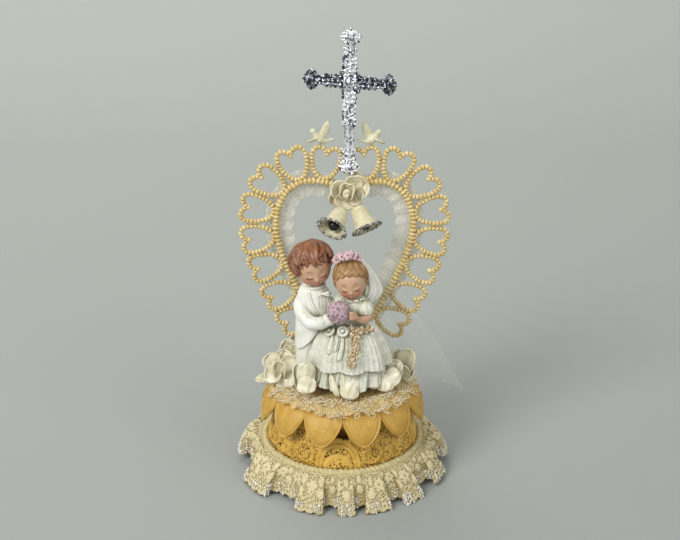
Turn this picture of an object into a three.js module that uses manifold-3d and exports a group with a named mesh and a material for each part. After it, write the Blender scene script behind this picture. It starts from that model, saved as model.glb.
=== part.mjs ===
// Wedding cake topper: a lace-edged plastic base with a petal canopy, a child
// bride and groom, a beaded heart frame, doves, a chromed cross and two bells.
// Millimetres, +Z up. The front faces -Y.

import * as THREE from 'three';
import { mergeVertices } from 'three/addons/utils/BufferGeometryUtils.js';
import Module from 'manifold-3d';

const wasm = await Module();
wasm.setup();

const turn = 2 * Math.PI;
const front = -Math.PI / 2;

// Clearances
const glueGap = 0.3;
const overrun = 4;

// Base skirt
const skirtHeight = 47.8;
const skirtTopRadius = 32;
const skirtWall = 1.8;
const skirtSwellShare = 1.56;
const footWidth = 4.5;
const footThickness = 2.2;
const medallionHalfWidth = 10.6;
const medallionHeight = 13;
const medallionFoot = 19.5;
const medallionRib = 0.75;
const archHalfWidth = 5.2;
const archHeight = 6.2;
const scrollLength = 7.5;
const scrollWidth = 2.3;
const drainHoleRadius = 0.8;

// Petal canopy
const petalCount = 12;
const canopyRadius = 32.6;
const canopyThickness = 2;
const petalWidth = 20.8;
const petalReach = 12.2;
const petalDrop = 17;
const petalThickness = 1.3;
const petalRim = 0.5;
const petalSplit = 0.3;

// Lace and tulle round the base
const headerHeight = 16.7;
const headerThickness = 3.4;
const headerCords = 32;
const hemRadius = 56;
const hemFlare = 15.3;
const hemHeight = 0.5;
const laceThickness = 0.7;
const laceFolds = 16;
const laceFoldDepth = 3.6;
const tulleInnerRadius = 17;
const tulleOuterRadius = 38;
const tulleThickness = 0.5;
const tulleWaves = 12;
const tulleWaveHeight = 1.2;

// Couple
const coupleHeight = 80;
const hemFlutes = 9;

// Heart frame
const heartHalfWidth = 35.5;
const heartFoot = 9.9;
const heartCleftShare = 0.94;
const roseOverCleft = 3.52;
const heartDepth = 10;
const heartLean = THREE.MathUtils.degToRad(0.7);
const ringBead = 1.9;
const ringNeck = 1.35;
const ringBeads = 68;
const heartsPerSide = 8;
const firstHeartX = 9.8;
const smallHeartPitch = 16.9;
const smallHeartHeight = 16.9;
const smallHeartWidth = 15;
const smallHeartSink = 0.5;
const strandBead = 1.05;
const strandNeck = 0.62;
const strandBeads = 11;
const padHalfWidth = 9;
const padHalfDepth = 4;
const padThickness = 2.2;
const stemRadius = 2.4;

// Lace trim behind the heart
const trimInner = 9.2;
const trimOuter = 6;
const trimThickness = 0.5;
const trimPicot = 0.8;

// Doves
const doveLength = 11;
const doveSpread = 12.3;

// Cross
const crossHeight = 77.3;
const crossSpan = 49;
const crossBar = 6;
const crossThickness = 2.6;
const crossingHeight = 49.7;
const crossBud = 3;
const crossOverCleft = 9.92;
const crossX = 1.8;
const crossYaw = THREE.MathUtils.degToRad(-12);

// Flowers
const roseRadius = 8.2;
const roseDepth = 9.6;
const cleftRoseX = 3.3;
const roseOverBells = 10;

// Bells
const bellLength = 13.4;
const bellMouth = 7.8;
const bellWall = 0.8;
const loopRadius = 1.3;
const loopWire = 0.36;
const hangerWire = 0.4;
const clapperRadius = 2.9;
const clapperStem = 0.5;
const bellPivotDepth = 4;
const leftPivotX = 0.4;
const rightPivotX = 6.6;
const bellHeadroom = 14.6;
const bellStagger = 2.5;

// Bead garland on the bride's skirt
const garlandBead = 1.25;
const garlandNeck = 0.8;
const garlandBeads = 18;

// Tulle veil
const veilThickness = 0.5;
const veilReach = 66;
const veilTopShare = 0.84125;
const veilCorner = 38;
const veilDepth = 4.6;

// Heights that follow from the sizes above
const canopyBottom = skirtHeight + glueGap;
const canopyTop = canopyBottom + canopyThickness;
const figureFloor = canopyTop + petalRim + tulleThickness + 2 * glueGap;
const ringFront = heartDepth - ringBead;
const leftPivotHeight = figureFloor + coupleHeight + bellHeadroom;
const rightPivotHeight = leftPivotHeight + bellStagger;
const cleftRoseHeight = leftPivotHeight + roseOverBells;
const heartHeight = (cleftRoseHeight - roseOverCleft - canopyTop - heartFoot) / heartCleftShare;
const crossSeat = heartFoot + heartHeight * heartCleftShare + crossOverCleft;
const veilTop = figureFloor + coupleHeight * veilTopShare;
const skirtFootRadius = hemRadius - hemFlare;

// The veil reaches further right than the hem, so the whole model moves left by half of that
const centreShift = (veilReach - hemRadius) / 2;

function vec(x, y, z) {
  return new THREE.Vector3(x, y, z);
}

function mix(a, b, t) {
  return a + (b - a) * t;
}

// Closed skins and solids

function meshFrom(points, faces) {
  let volume = 0;
  for (let i = 0; i < faces.length; i += 3) {
    const a = points[faces[i]];
    const b = points[faces[i + 1]];
    const c = points[faces[i + 2]];
    volume += a.dot(b.clone().cross(c));
  }
  const order = volume < 0 ? faces.slice().reverse() : faces;
  const geometry = new THREE.BufferGeometry().setFromPoints(points);
  geometry.setIndex(order);
  return geometry;
}

// A flat lid over one ring of points, laid as a ladder between its two sides
function lidFaces(start, count) {
  const faces = [];
  let low = 0;
  let high = count - 1;
  while (high - low >= 2) {
    faces.push(start + low, start + low + 1, start + high);
    low += 1;
    if (high - low >= 2) {
      faces.push(start + low, start + high - 1, start + high);
      high -= 1;
    }
  }
  return faces;
}

// A skin over rings of equally many points: closed on itself, or with a lid at each end
function skin(rings, endless) {
  const count = rings[0].length;
  const faces = [];
  const spans = endless ? rings.length : rings.length - 1;
  for (let i = 0; i < spans; i += 1) {
    const here = i * count;
    const next = ((i + 1) % rings.length) * count;
    for (let j = 0; j < count; j += 1) {
      const k = (j + 1) % count;
      faces.push(here + j, next + j, next + k);
      faces.push(here + j, next + k, here + k);
    }
  }
  if (!endless) {
    const last = (rings.length - 1) * count;
    faces.push(...lidFaces(0, count));
    faces.push(...lidFaces(last, count).reverse());
  }
  return meshFrom(rings.flat(), faces);
}

function solidFrom(geometry) {
  const plain = geometry.clone();
  plain.deleteAttribute('normal');
  plain.deleteAttribute('uv');
  const merged = mergeVertices(plain);
  return new wasm.Manifold(new wasm.Mesh({
    numProp: 3,
    vertProperties: Float32Array.from(merged.attributes.position.array),
    triVerts: Uint32Array.from(merged.index.array),
  }));
}

function geometryFrom(solid) {
  const mesh = solid.getMesh();
  const geometry = new THREE.BufferGeometry();
  geometry.setAttribute('position', new THREE.BufferAttribute(mesh.vertProperties, 3));
  geometry.setIndex(new THREE.BufferAttribute(mesh.triVerts, 1));
  geometry.computeVertexNormals();
  return geometry;
}

function joined(geometries) {
  const solids = geometries.map(solidFrom);
  return solids.reduce((whole, piece) => whole.add(piece));
}

function cutFrom(solid, geometries) {
  return geometries.reduce((whole, cutter) => whole.subtract(solidFrom(cutter)), solid);
}

// Basic forms

function ellipsoid(centre, radii, across = 8, down = 6) {
  const ball = new THREE.SphereGeometry(1, across, down);
  ball.rotateX(Math.PI / 2);
  ball.scale(radii.x, radii.y, radii.z);
  ball.translate(centre.x, centre.y, centre.z);
  return ball;
}

function revolved(profile, segments) {
  const lathe = new THREE.LatheGeometry(profile, segments);
  lathe.rotateX(Math.PI / 2);
  return meshFromGeometry(lathe);
}

// Welds a geometry and turns its faces outward
function meshFromGeometry(geometry) {
  geometry.deleteAttribute('normal');
  geometry.deleteAttribute('uv');
  const merged = mergeVertices(geometry);
  const place = merged.attributes.position;
  const points = [];
  for (let i = 0; i < place.count; i += 1) {
    points.push(new THREE.Vector3().fromBufferAttribute(place, i));
  }
  return meshFrom(points, Array.from(merged.index.array));
}

// Round-ended limb between two points, as rings across its axis
const limbSteps = [
  { along: -0.85, width: 0.5 },
  { along: -0.4, width: 0.9 },
  { along: 0, width: 1 },
];

function limb(from, to, startRadius, endRadius, sides = 6, flatness = 1) {
  const axis = to.clone().sub(from).normalize();
  const spin = new THREE.Quaternion().setFromUnitVectors(vec(0, 0, 1), axis);
  const ringAt = (centre, radius) => {
    const ring = [];
    for (let j = 0; j < sides; j += 1) {
      const angle = turn * j / sides;
      const offset = vec(radius * Math.cos(angle), radius * flatness * Math.sin(angle), 0);
      ring.push(offset.applyQuaternion(spin).add(centre));
    }
    return ring;
  };
  const head = limbSteps.map((step) => {
    const centre = from.clone().addScaledVector(axis, step.along * startRadius);
    return ringAt(centre, step.width * startRadius);
  });
  const tail = limbSteps.map((step) => {
    const centre = to.clone().addScaledVector(axis, -step.along * endRadius);
    return ringAt(centre, step.width * endRadius);
  });
  return skin([...head, ...tail.reverse()], false);
}

// A strand of beads along points: two rings a bead, the second at its neck
function beaded(points, bead, neck, sides, across, endless) {
  const count = points.length;
  const rings = points.map((point, i) => {
    const before = points[endless ? (i + count - 1) % count : Math.max(i - 1, 0)];
    const after = points[endless ? (i + 1) % count : Math.min(i + 1, count - 1)];
    const along = after.clone().sub(before).normalize();
    const side = across.clone().cross(along).normalize();
    const rise = along.clone().cross(side).normalize();
    const radius = i % 2 === 0 ? bead : neck;
    const ring = [];
    for (let j = 0; j < sides; j += 1) {
      const angle = turn * (j + 0.5) / sides;
      ring.push(point.clone()
        .addScaledVector(side, radius * Math.cos(angle))
        .addScaledVector(rise, radius * Math.sin(angle)));
    }
    return ring;
  });
  return skin(rings, endless);
}

// A thin sheet: rows of points on its middle, thickened along the given normals
function sheet(rows, normals, thickness, endless) {
  const half = thickness / 2;
  const rings = rows.map((row, i) => {
    const face = row.map((point, j) => point.clone().addScaledVector(normals[i][j], half));
    const back = row.map((point, j) => point.clone().addScaledVector(normals[i][j], -half));
    return [...face, ...back.reverse()];
  });
  return skin(rings, endless);
}

// Heart outlines, as shares of half width and height from the lower point
const ringHeartShares = {
  cleft: heartCleftShare, lobe: 0.51, side: 0.755,
  leave: [0.1, 0.985], arrive: [0.25, 1], shoulder: [0.78, 1], turnIn: [1, 0.9],
  flank: [1, 0.6], foot: [0.62, 0.3],
};
const smallHeartShares = {
  cleft: 0.8, lobe: 0.55, side: 0.72,
  leave: [0.1, 0.93], arrive: [0.3, 1], shoulder: [0.85, 1], turnIn: [1, 0.9],
  flank: [0.95, 0.38], foot: [0.5, 0],
};

function heartCurve(halfWidth, height, shares) {
  const path = new THREE.Path();
  const right = (pair) => [halfWidth * pair[0], height * pair[1]];
  const left = (pair) => [-halfWidth * pair[0], height * pair[1]];
  const lobe = [shares.lobe, 1];
  const side = [1, shares.side];
  path.moveTo(0, height * shares.cleft);
  path.bezierCurveTo(...right(shares.leave), ...right(shares.arrive), ...right(lobe));
  path.bezierCurveTo(...right(shares.shoulder), ...right(shares.turnIn), ...right(side));
  path.bezierCurveTo(...right(shares.flank), ...right(shares.foot), 0, 0);
  path.bezierCurveTo(...left(shares.foot), ...left(shares.flank), ...left(side));
  path.bezierCurveTo(...left(shares.turnIn), ...left(shares.shoulder), ...left(lobe));
  path.bezierCurveTo(...left(shares.arrive), ...left(shares.leave), 0, height * shares.cleft);
  return path;
}

// Equally spaced points of a closed flat curve, without the repeated last one
function spacedPoints(curve, count) {
  return curve.getSpacedPoints(count).slice(0, count);
}

const ringCurve = heartCurve(heartHalfWidth, heartHeight, ringHeartShares);

// Base skirt

function skirtRadius(height) {
  const fall = Math.cos(Math.min(height / skirtHeight, 1) * Math.PI / 2);
  return skirtTopRadius + (skirtFootRadius - skirtTopRadius) * fall ** skirtSwellShare;
}

function skirtShell() {
  const steps = 5;
  const profile = [];
  for (let i = 0; i <= steps; i += 1) {
    const height = skirtHeight * i / steps;
    profile.push(new THREE.Vector2(skirtRadius(height), height));
  }
  for (let i = steps; i >= 1; i -= 2) {
    const height = mix(footThickness, skirtHeight, i / steps);
    profile.push(new THREE.Vector2(skirtRadius(height) - skirtWall, height));
  }
  const footInner = skirtFootRadius - footWidth;
  profile.push(new THREE.Vector2(footInner, footThickness));
  profile.push(new THREE.Vector2(footInner, 0));
  profile.push(profile[0].clone());
  return revolved(profile, 30);
}

// Carries a flat shape to the skirt: x round the base, y up, depth outward
function throughSkirt(shape, angle, height, curveSegments) {
  const depth = skirtWall + 2 * overrun;
  const prism = new THREE.ExtrudeGeometry(shape, { depth, bevelEnabled: false, curveSegments });
  const out = vec(Math.cos(angle), Math.sin(angle), 0);
  const along = vec(-Math.sin(angle), Math.cos(angle), 0);
  const frame = new THREE.Matrix4().makeBasis(along, vec(0, 0, 1), out);
  const start = skirtRadius(height) - skirtWall - overrun;
  frame.setPosition(out.x * start, out.y * start, height);
  return prism.applyMatrix4(frame);
}

function archShape() {
  const shape = new THREE.Shape();
  shape.moveTo(-archHalfWidth, 0);
  shape.lineTo(archHalfWidth, 0);
  shape.quadraticCurveTo(archHalfWidth, archHeight, 0, archHeight);
  shape.quadraticCurveTo(-archHalfWidth, archHeight, -archHalfWidth, 0);
  return shape;
}

function leafShape(length, width, tilt) {
  const shape = new THREE.Shape();
  const tip = new THREE.Vector2(length / 2, 0).rotateAround(new THREE.Vector2(), tilt);
  const belly = new THREE.Vector2(0, width).rotateAround(new THREE.Vector2(), tilt);
  shape.moveTo(-tip.x, -tip.y);
  shape.quadraticCurveTo(-belly.x, -belly.y, tip.x, tip.y);
  shape.quadraticCurveTo(belly.x, belly.y, -tip.x, -tip.y);
  return shape;
}

function medallionRibGeometry(angle) {
  const steps = 8;
  const points = [];
  for (let i = 0; i <= steps; i += 1) {
    const sweep = Math.PI * i / steps;
    const height = medallionFoot + medallionHeight * Math.sin(sweep);
    const around = angle + medallionHalfWidth * Math.cos(sweep) / skirtRadius(height);
    const radius = skirtRadius(height);
    points.push(vec(radius * Math.cos(around), radius * Math.sin(around), height));
  }
  return beaded(points, medallionRib, medallionRib, 4, vec(0, 0, 1), false);
}

// Slots of a scroll panel, as shares of the medallion's half width and height, with a tilt
const scrollShares = [
  { x: -0.36, y: 0.5, tilt: 0.9 },
  { x: 0.36, y: 0.5, tilt: -0.9 },
];

function baseSkirt() {
  const quarters = [0, 1, 2, 3].map((i) => front + i * turn / 4);
  const cutters = [];
  const ribs = [];
  const archFoot = medallionFoot + medallionHeight + medallionRib;
  for (const angle of quarters) {
    ribs.push(medallionRibGeometry(angle));
    cutters.push(throughSkirt(archShape(), angle, archFoot, 4));
    const hole = new THREE.Shape().absarc(0, 0, drainHoleRadius, 0, turn);
    const holeHeight = medallionFoot + medallionHeight / 2;
    cutters.push(throughSkirt(hole, angle + turn / 8, holeHeight, 3));
    for (const side of [-1, 1]) {
      for (const slot of scrollShares) {
        const middle = angle + side * turn / 16;
        const around = middle + slot.x * medallionHalfWidth / skirtFootRadius;
        const height = medallionFoot + slot.y * medallionHeight;
        const leaf = leafShape(scrollLength, scrollWidth, slot.tilt);
        cutters.push(throughSkirt(leaf, around, height, 2));
      }
    }
  }
  const shell = solidFrom(skirtShell());
  const ribbed = ribs.reduce((whole, rib) => whole.add(solidFrom(rib)), shell);
  return geometryFrom(cutFrom(ribbed, cutters));
}

// Petal canopy: middle line of a petal, from the plate out and down to its tip
function petalLine(t) {
  const bend = t * Math.PI / 2;
  const radius = canopyRadius - canopyThickness + petalReach * Math.sin(bend);
  const height = canopyTop - canopyThickness / 2 - petalDrop * (1 - Math.cos(bend));
  return { radius, height };
}

const petalRowShares = [0, 0.2, 0.45, 0.7, 0.88, 1];
const petalColumnShares = [-1, -0.78, 0, 0.78, 1];
const petalShoulderShare = 0.42;
const petalRoundShare = 2.3;
const petalPointShare = 0.62;
const petalTipShare = 0.004;

function petalHalfWidth(t) {
  const below = Math.max((t - petalShoulderShare) / (1 - petalShoulderShare), 0);
  const open = Math.max(1 - below ** petalRoundShare, petalTipShare);
  return petalWidth / 2 * open ** petalPointShare;
}

const petalSector = Math.PI / petalCount - petalSplit / (2 * canopyRadius);

function petal(angle) {
  const rings = petalRowShares.map((t) => {
    const { radius, height } = petalLine(t);
    const bend = t * Math.PI / 2;
    const outFace = Math.sin(bend);
    const upFace = Math.cos(bend);
    const face = [];
    const back = [];
    for (const share of petalColumnShares) {
      const onRim = Math.abs(share) === 1 || t === 1;
      const around = angle + share * Math.min(petalHalfWidth(t) / radius, petalSector);
      const lift = petalThickness / 2 + (onRim ? petalRim : 0);
      const at = (push) => vec(
        (radius + outFace * push) * Math.cos(around),
        (radius + outFace * push) * Math.sin(around),
        height + upFace * push,
      );
      face.push(at(lift));
      back.push(at(-petalThickness / 2));
    }
    return [...face, ...back.reverse()];
  });
  return skin(rings, false);
}

function petalCanopy() {
  const plate = new THREE.CylinderGeometry(canopyRadius, canopyRadius, canopyThickness, 24);
  plate.rotateX(Math.PI / 2);
  plate.translate(0, 0, canopyBottom + canopyThickness / 2);
  const petals = [];
  for (let i = 0; i < petalCount; i += 1) {
    petals.push(petal(front + turn * (i + 0.5) / petalCount));
  }
  return geometryFrom(joined([plate, ...petals]));
}

// Lace header cord and gathered lace

const headerRadius = skirtRadius(headerHeight - headerThickness / 2) + headerThickness / 2 + glueGap / 3;
const headerNeckShare = 0.82;

function laceHeader() {
  const points = [];
  const count = headerCords * 2;
  for (let i = 0; i < count; i += 1) {
    const angle = turn * i / count;
    points.push(vec(headerRadius * Math.cos(angle), headerRadius * Math.sin(angle), headerHeight));
  }
  const bead = headerThickness / 2 * Math.SQRT2;
  return beaded(points, bead, bead * headerNeckShare, 4, vec(0, 0, 1), true);
}

// A box fold: a wave with flattened crests and troughs
const foldSharpness = 1.8;

function boxFold(phase) {
  return Math.tanh(foldSharpness * Math.sin(phase)) / Math.tanh(foldSharpness);
}

function laceRuffle() {
  const top = headerHeight - headerThickness / 2 - glueGap - laceThickness / 2;
  const startRadius = headerRadius;
  const rowCount = 4;
  const columns = laceFolds * 4;
  const rows = [];
  const normals = [];
  for (let i = 0; i < columns; i += 1) {
    const angle = turn * i / columns;
    const fold = boxFold(laceFolds * angle);
    const row = [];
    const rowNormals = [];
    for (let j = 0; j < rowCount; j += 1) {
      const t = j / (rowCount - 1);
      const crest = laceFoldDepth * t * (fold - 1) / 2;
      const radius = mix(startRadius, hemRadius - laceThickness / 2, t) + crest;
      const height = mix(top, hemHeight + laceThickness / 2, t ** 0.9);
      row.push(vec(radius * Math.cos(angle), radius * Math.sin(angle), height));
      rowNormals.push(vec(Math.cos(angle), Math.sin(angle), 1).normalize());
    }
    rows.push(row);
    normals.push(rowNormals);
  }
  return sheet(rows, normals, laceThickness, true);
}

// Tulle laid on the plate and over the roots of the petals
function tulleRuffle() {
  const columns = tulleWaves * 3;
  const floor = canopyTop + petalRim + glueGap + tulleThickness / 2;
  const rows = [];
  const normals = [];
  for (let i = 0; i < columns; i += 1) {
    const angle = turn * i / columns;
    const wave = tulleWaveHeight * (1 + Math.sin(tulleWaves * angle)) / 2;
    const flatEnd = canopyRadius - canopyThickness;
    // its edge falls as far as the petals have under it, at most to their tips
    const over = Math.min(tulleOuterRadius - flatEnd, petalReach);
    const drop = petalDrop * (1 - Math.cos(Math.asin(over / petalReach)));
    const places = [
      [tulleInnerRadius, floor],
      [flatEnd - tulleWaveHeight, floor],
      [mix(flatEnd, tulleOuterRadius, 0.45), floor + wave],
      [tulleOuterRadius + glueGap, floor - drop + tulleThickness + wave],
    ];
    rows.push(places.map(([radius, z]) => vec(radius * Math.cos(angle), radius * Math.sin(angle), z)));
    normals.push(places.map(() => vec(0, 0, 1)));
  }
  return sheet(rows, normals, tulleThickness, true);
}

// Couple: one casting. Places and radii are shares of the couple's height from its floor.

function figurePoint(share) {
  return vec(share[0], share[1], share[2]).multiplyScalar(coupleHeight);
}

// Groom's skull, face and chest, then the bride's head, bodice, sleeve, bouquet and bow
const ballShares = [
  { at: [-0.196, -0.062, 0.836], r: [0.14, 0.141, 0.145] },
  { at: [-0.188, -0.095, 0.745], r: [0.108, 0.11, 0.108] },
  { at: [-0.181, -0.07, 0.48], r: [0.12, 0.1, 0.2] },
  { at: [0.041, -0.162, 0.774], r: [0.105, 0.107, 0.12] },
  { at: [0.05, -0.165, 0.58], r: [0.1, 0.088, 0.125] },
  { at: [0.137, -0.181, 0.605], r: [0.058, 0.055, 0.058] },
  { at: [-0.035, -0.32, 0.6], r: [0.084, 0.064, 0.082] },
  { at: [-0.056, -0.282, 0.484], r: [0.036, 0.026, 0.03] },
  { at: [0.012, -0.282, 0.484], r: [0.036, 0.026, 0.03] },
];
const flowerShares = [
  [-0.036, -0.175, 0.888],
  [0.014, -0.17, 0.912],
  [0.068, -0.155, 0.908],
];
const flowerBallShare = 0.034;
const limbShares = [
  { from: [-0.275, -0.081, 0.585], to: [-0.24, -0.19, 0.5], r: [0.058, 0.05] },
  { from: [-0.24, -0.19, 0.5], to: [-0.1, -0.275, 0.545], r: [0.05, 0.042] },
  { from: [0.15, -0.205, 0.572], to: [0.07, -0.3, 0.57], r: [0.035, 0.03] },
  { from: [0.06, -0.08, 0.88], to: [0.18, -0.065, 0.67], r: [0.055, 0.075] },
  { from: [-0.044, -0.285, 0.47], to: [-0.05, -0.315, 0.36], r: [0.016, 0.022] },
];
const trouserShares = [
  { at: [-0.2, -0.07, 0], r: [0.104, 0.095] },
  { at: [-0.2, -0.07, 0.13], r: [0.105, 0.1] },
  { at: [-0.185, -0.065, 0.3], r: [0.125, 0.112] },
  { at: [-0.181, -0.068, 0.42], r: [0.12, 0.104] },
];
const skirtShares = [
  { at: [0.05, -0.12, 0], r: [0.15, 0.085], flute: 0 },
  { at: [0.052, -0.125, 0.145], r: [0.16, 0.09], flute: 0 },
  { at: [0.056, -0.165, 0.15], r: [0.262, 0.206], flute: 0.06 },
  { at: [0.055, -0.165, 0.2], r: [0.258, 0.202], flute: 0.055 },
  { at: [0.05, -0.168, 0.32], r: [0.205, 0.165], flute: 0.04 },
  { at: [0.046, -0.172, 0.42], r: [0.145, 0.125], flute: 0.02 },
  { at: [0.044, -0.175, 0.5], r: [0.095, 0.085], flute: 0 },
];

// A point on the outside of the bride's skirt, at an angle and a share of the couple's height
function brideSkirtPoint(angle, heightShare, push) {
  const upper = skirtShares.findIndex((row) => row.at[2] >= heightShare);
  const high = skirtShares[upper];
  const low = skirtShares[upper - 1];
  const t = (heightShare - low.at[2]) / (high.at[2] - low.at[2]);
  const swell = 1 + mix(low.flute, high.flute, t) * Math.cos(hemFlutes * angle);
  const radius = (axis) => mix(low.r[axis], high.r[axis], t) * swell * coupleHeight + push;
  const middle = (axis) => mix(low.at[axis], high.at[axis], t) * coupleHeight;
  return vec(
    middle(0) + radius(0) * Math.cos(angle),
    middle(1) + radius(1) * Math.sin(angle),
    heightShare * coupleHeight,
  );
}

function ellipseRings(shares, columns, flutes) {
  const rings = shares.map((row) => {
    const ring = [];
    for (let j = 0; j < columns; j += 1) {
      const angle = turn * j / columns;
      const swell = 1 + (row.flute ?? 0) * Math.cos(flutes * angle);
      ring.push(figurePoint([
        row.at[0] + row.r[0] * swell * Math.cos(angle),
        row.at[1] + row.r[1] * swell * Math.sin(angle),
        row.at[2],
      ]));
    }
    return ring;
  });
  return skin(rings, false);
}

function coupleFigurine() {
  const balls = ballShares.map((ball) => ellipsoid(figurePoint(ball.at), figurePoint(ball.r)));
  const flowerRadius = figurePoint([flowerBallShare, flowerBallShare, flowerBallShare]);
  const flowers = flowerShares.map((place) => ellipsoid(figurePoint(place), flowerRadius, 6, 5));
  const limbs = limbShares.map((part) => limb(
    figurePoint(part.from),
    figurePoint(part.to),
    part.r[0] * coupleHeight,
    part.r[1] * coupleHeight,
  ));
  const trousers = ellipseRings(trouserShares, 12, 1);
  const skirt = ellipseRings(skirtShares, hemFlutes * 3, hemFlutes);
  return geometryFrom(joined([skirt, trousers, ...balls, ...limbs, ...flowers]));
}

// The garland runs from the bride's right hip to her waist and down the front of the skirt
const garlandRouteShares = [
  { angle: -0.12, height: 0.4 },
  { angle: -0.8, height: 0.435 },
  { angle: -1.25, height: 0.44 },
  { angle: -1.42, height: 0.37 },
  { angle: -1.52, height: 0.29 },
  { angle: -1.55, height: 0.225 },
];

function beadGarland() {
  const push = garlandBead + glueGap;
  const route = garlandRouteShares.map((stop) => brideSkirtPoint(stop.angle, stop.height, push));
  const points = new THREE.CatmullRomCurve3(route).getSpacedPoints(garlandBeads * 2);
  const outward = vec(0.4, -0.8, 0.4).normalize();
  return beaded(points, garlandBead, garlandNeck, 4, outward, false);
}

// Roses: one folded skin, its rows as shares of radius and depth
const roseRowShares = [
  { r: 0.2, z: 0, lobe: 0, phase: 0 },
  { r: 0.52, z: 0.08, lobe: 0.05, phase: 0 },
  { r: 0.86, z: 0.34, lobe: 0.1, phase: 0 },
  { r: 0.92, z: 0.56, lobe: 0.09, phase: 0 },
  { r: 0.66, z: 0.48, lobe: 0.1, phase: 0 },
  { r: 0.58, z: 0.76, lobe: 0.14, phase: Math.PI },
  { r: 0.38, z: 0.62, lobe: 0.08, phase: Math.PI },
  { r: 0.27, z: 0.93, lobe: 0.1, phase: 0 },
  { r: 0.08, z: 1, lobe: 0, phase: 0 },
];
const rosePetals = 5;
const roseColumns = 15;

function roseGeometry(radius, depth) {
  const rings = roseRowShares.map((row) => {
    const ring = [];
    for (let j = 0; j < roseColumns; j += 1) {
      const angle = turn * j / roseColumns;
      const swell = 1 + row.lobe * Math.cos(rosePetals * angle + row.phase);
      const reach = radius * row.r * swell;
      ring.push(vec(reach * Math.cos(angle), reach * Math.sin(angle), depth * row.z * swell));
    }
    return ring;
  });
  return skin(rings, false);
}

function roseLeaf(length, width, thickness) {
  const shares = [0.05, 0.35, 0.7, 1];
  const rows = shares.map((t) => {
    const half = width / 2 * Math.max(Math.sin(Math.PI * mix(0.25, 1, t)), 0.08);
    return [-1, 0, 1].map((s) => vec(length * t, half * s, thickness * (1 - Math.abs(s))));
  });
  const normals = rows.map((row) => row.map(() => vec(0, 0, 1)));
  return sheet(rows, normals, thickness, false);
}

// Heart frame

function onHeartPlane(point) {
  return vec(point.x, 0, heartFoot + point.y);
}

const smallHeartMiddleShare = 0.6;
const rootReach = ringNeck + strandNeck - smallHeartSink;

// Seats of the small hearts: equal steps along a curve outside the ring, right side first
function smallHeartSeats() {
  const samples = 400;
  const points = spacedPoints(ringCurve, samples);
  const away = rootReach + smallHeartHeight * smallHeartMiddleShare;
  const track = [];
  for (let i = 1; i < samples / 2; i += 1) {
    const along = points[i + 1].clone().sub(points[i - 1]).normalize();
    const out = new THREE.Vector2(-along.y, along.x);
    const outer = points[i].clone().addScaledVector(out, away);
    if (outer.x > smallHeartWidth / 2) {
      track.push({ root: points[i], out, outer });
    }
  }
  const seats = [];
  let wanted = firstHeartX;
  let travelled = 0;
  let last = null;
  for (const spot of track) {
    if (last === null) {
      travelled = spot.outer.x;
    } else {
      travelled += spot.outer.distanceTo(last);
    }
    last = spot.outer;
    if (travelled >= wanted && seats.length < heartsPerSide) {
      seats.push({ root: spot.root, out: spot.out });
      wanted += smallHeartPitch;
    }
  }
  return seats;
}

const heartSeats = smallHeartSeats();

function smallHeart(seat, side) {
  const curve = heartCurve(smallHeartWidth / 2, smallHeartHeight, smallHeartShares);
  const flat = spacedPoints(curve, strandBeads * 2);
  const acrossSeat = new THREE.Vector2(seat.out.y, -seat.out.x);
  const points = flat.map((point) => {
    const place = seat.root.clone()
      .addScaledVector(seat.out, rootReach + point.y)
      .addScaledVector(acrossSeat, point.x);
    return onHeartPlane(new THREE.Vector2(place.x * side, place.y));
  });
  return beaded(points, strandBead, strandNeck, 4, vec(0, 1, 0), true);
}

function heartStand() {
  const pad = new THREE.CylinderGeometry(1, 1, padThickness, 20);
  pad.rotateX(Math.PI / 2);
  pad.scale(padHalfWidth, padHalfDepth, 1);
  pad.translate(0, 0, glueGap + padThickness / 2);
  const stem = new THREE.CylinderGeometry(stemRadius, stemRadius, heartFoot, 10);
  stem.rotateX(Math.PI / 2);
  stem.translate(0, 0, glueGap + heartFoot / 2);
  return [pad, stem];
}

function heartFrame() {
  const ringPoints = spacedPoints(ringCurve, ringBeads * 2).map(onHeartPlane);
  const ring = beaded(ringPoints, ringBead, ringNeck, 5, vec(0, 1, 0), true);
  const hearts = [];
  for (const side of [1, -1]) {
    for (const seat of heartSeats) {
      hearts.push(smallHeart(seat, side));
    }
  }
  return geometryFrom(joined([ring, ...hearts, ...heartStand()]));
}

// Lace behind the heart: from one lower side over both lobes to the other
const trimSpanShare = 0.4;
const trimFadeShare = 0.07;
const trimStepShare = 0.006;

function heartLaceTrim() {
  const columns = 60;
  const samples = 500;
  const points = spacedPoints(ringCurve, samples);
  const at = (share) => points[((Math.round(share * samples) % samples) + samples) % samples];
  const rows = [];
  for (let i = 0; i <= columns; i += 1) {
    const share = mix(-trimSpanShare, trimSpanShare, i / columns);
    const along = at(share + trimStepShare).clone().sub(at(share - trimStepShare)).normalize();
    const out = new THREE.Vector2(-along.y, along.x);
    const picot = i % 2 === 0 ? 0 : trimPicot;
    const fade = Math.min(Math.abs(share) / trimFadeShare, 1);
    const middle = at(share);
    const inner = middle.clone().addScaledVector(out, -trimInner + picot);
    const outer = middle.clone().addScaledVector(out, trimOuter * fade - picot);
    rows.push([onHeartPlane(inner), onHeartPlane(outer)]);
  }
  const normals = rows.map((row) => row.map(() => vec(0, 1, 0)));
  return sheet(rows, normals, trimThickness, false);
}

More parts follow.
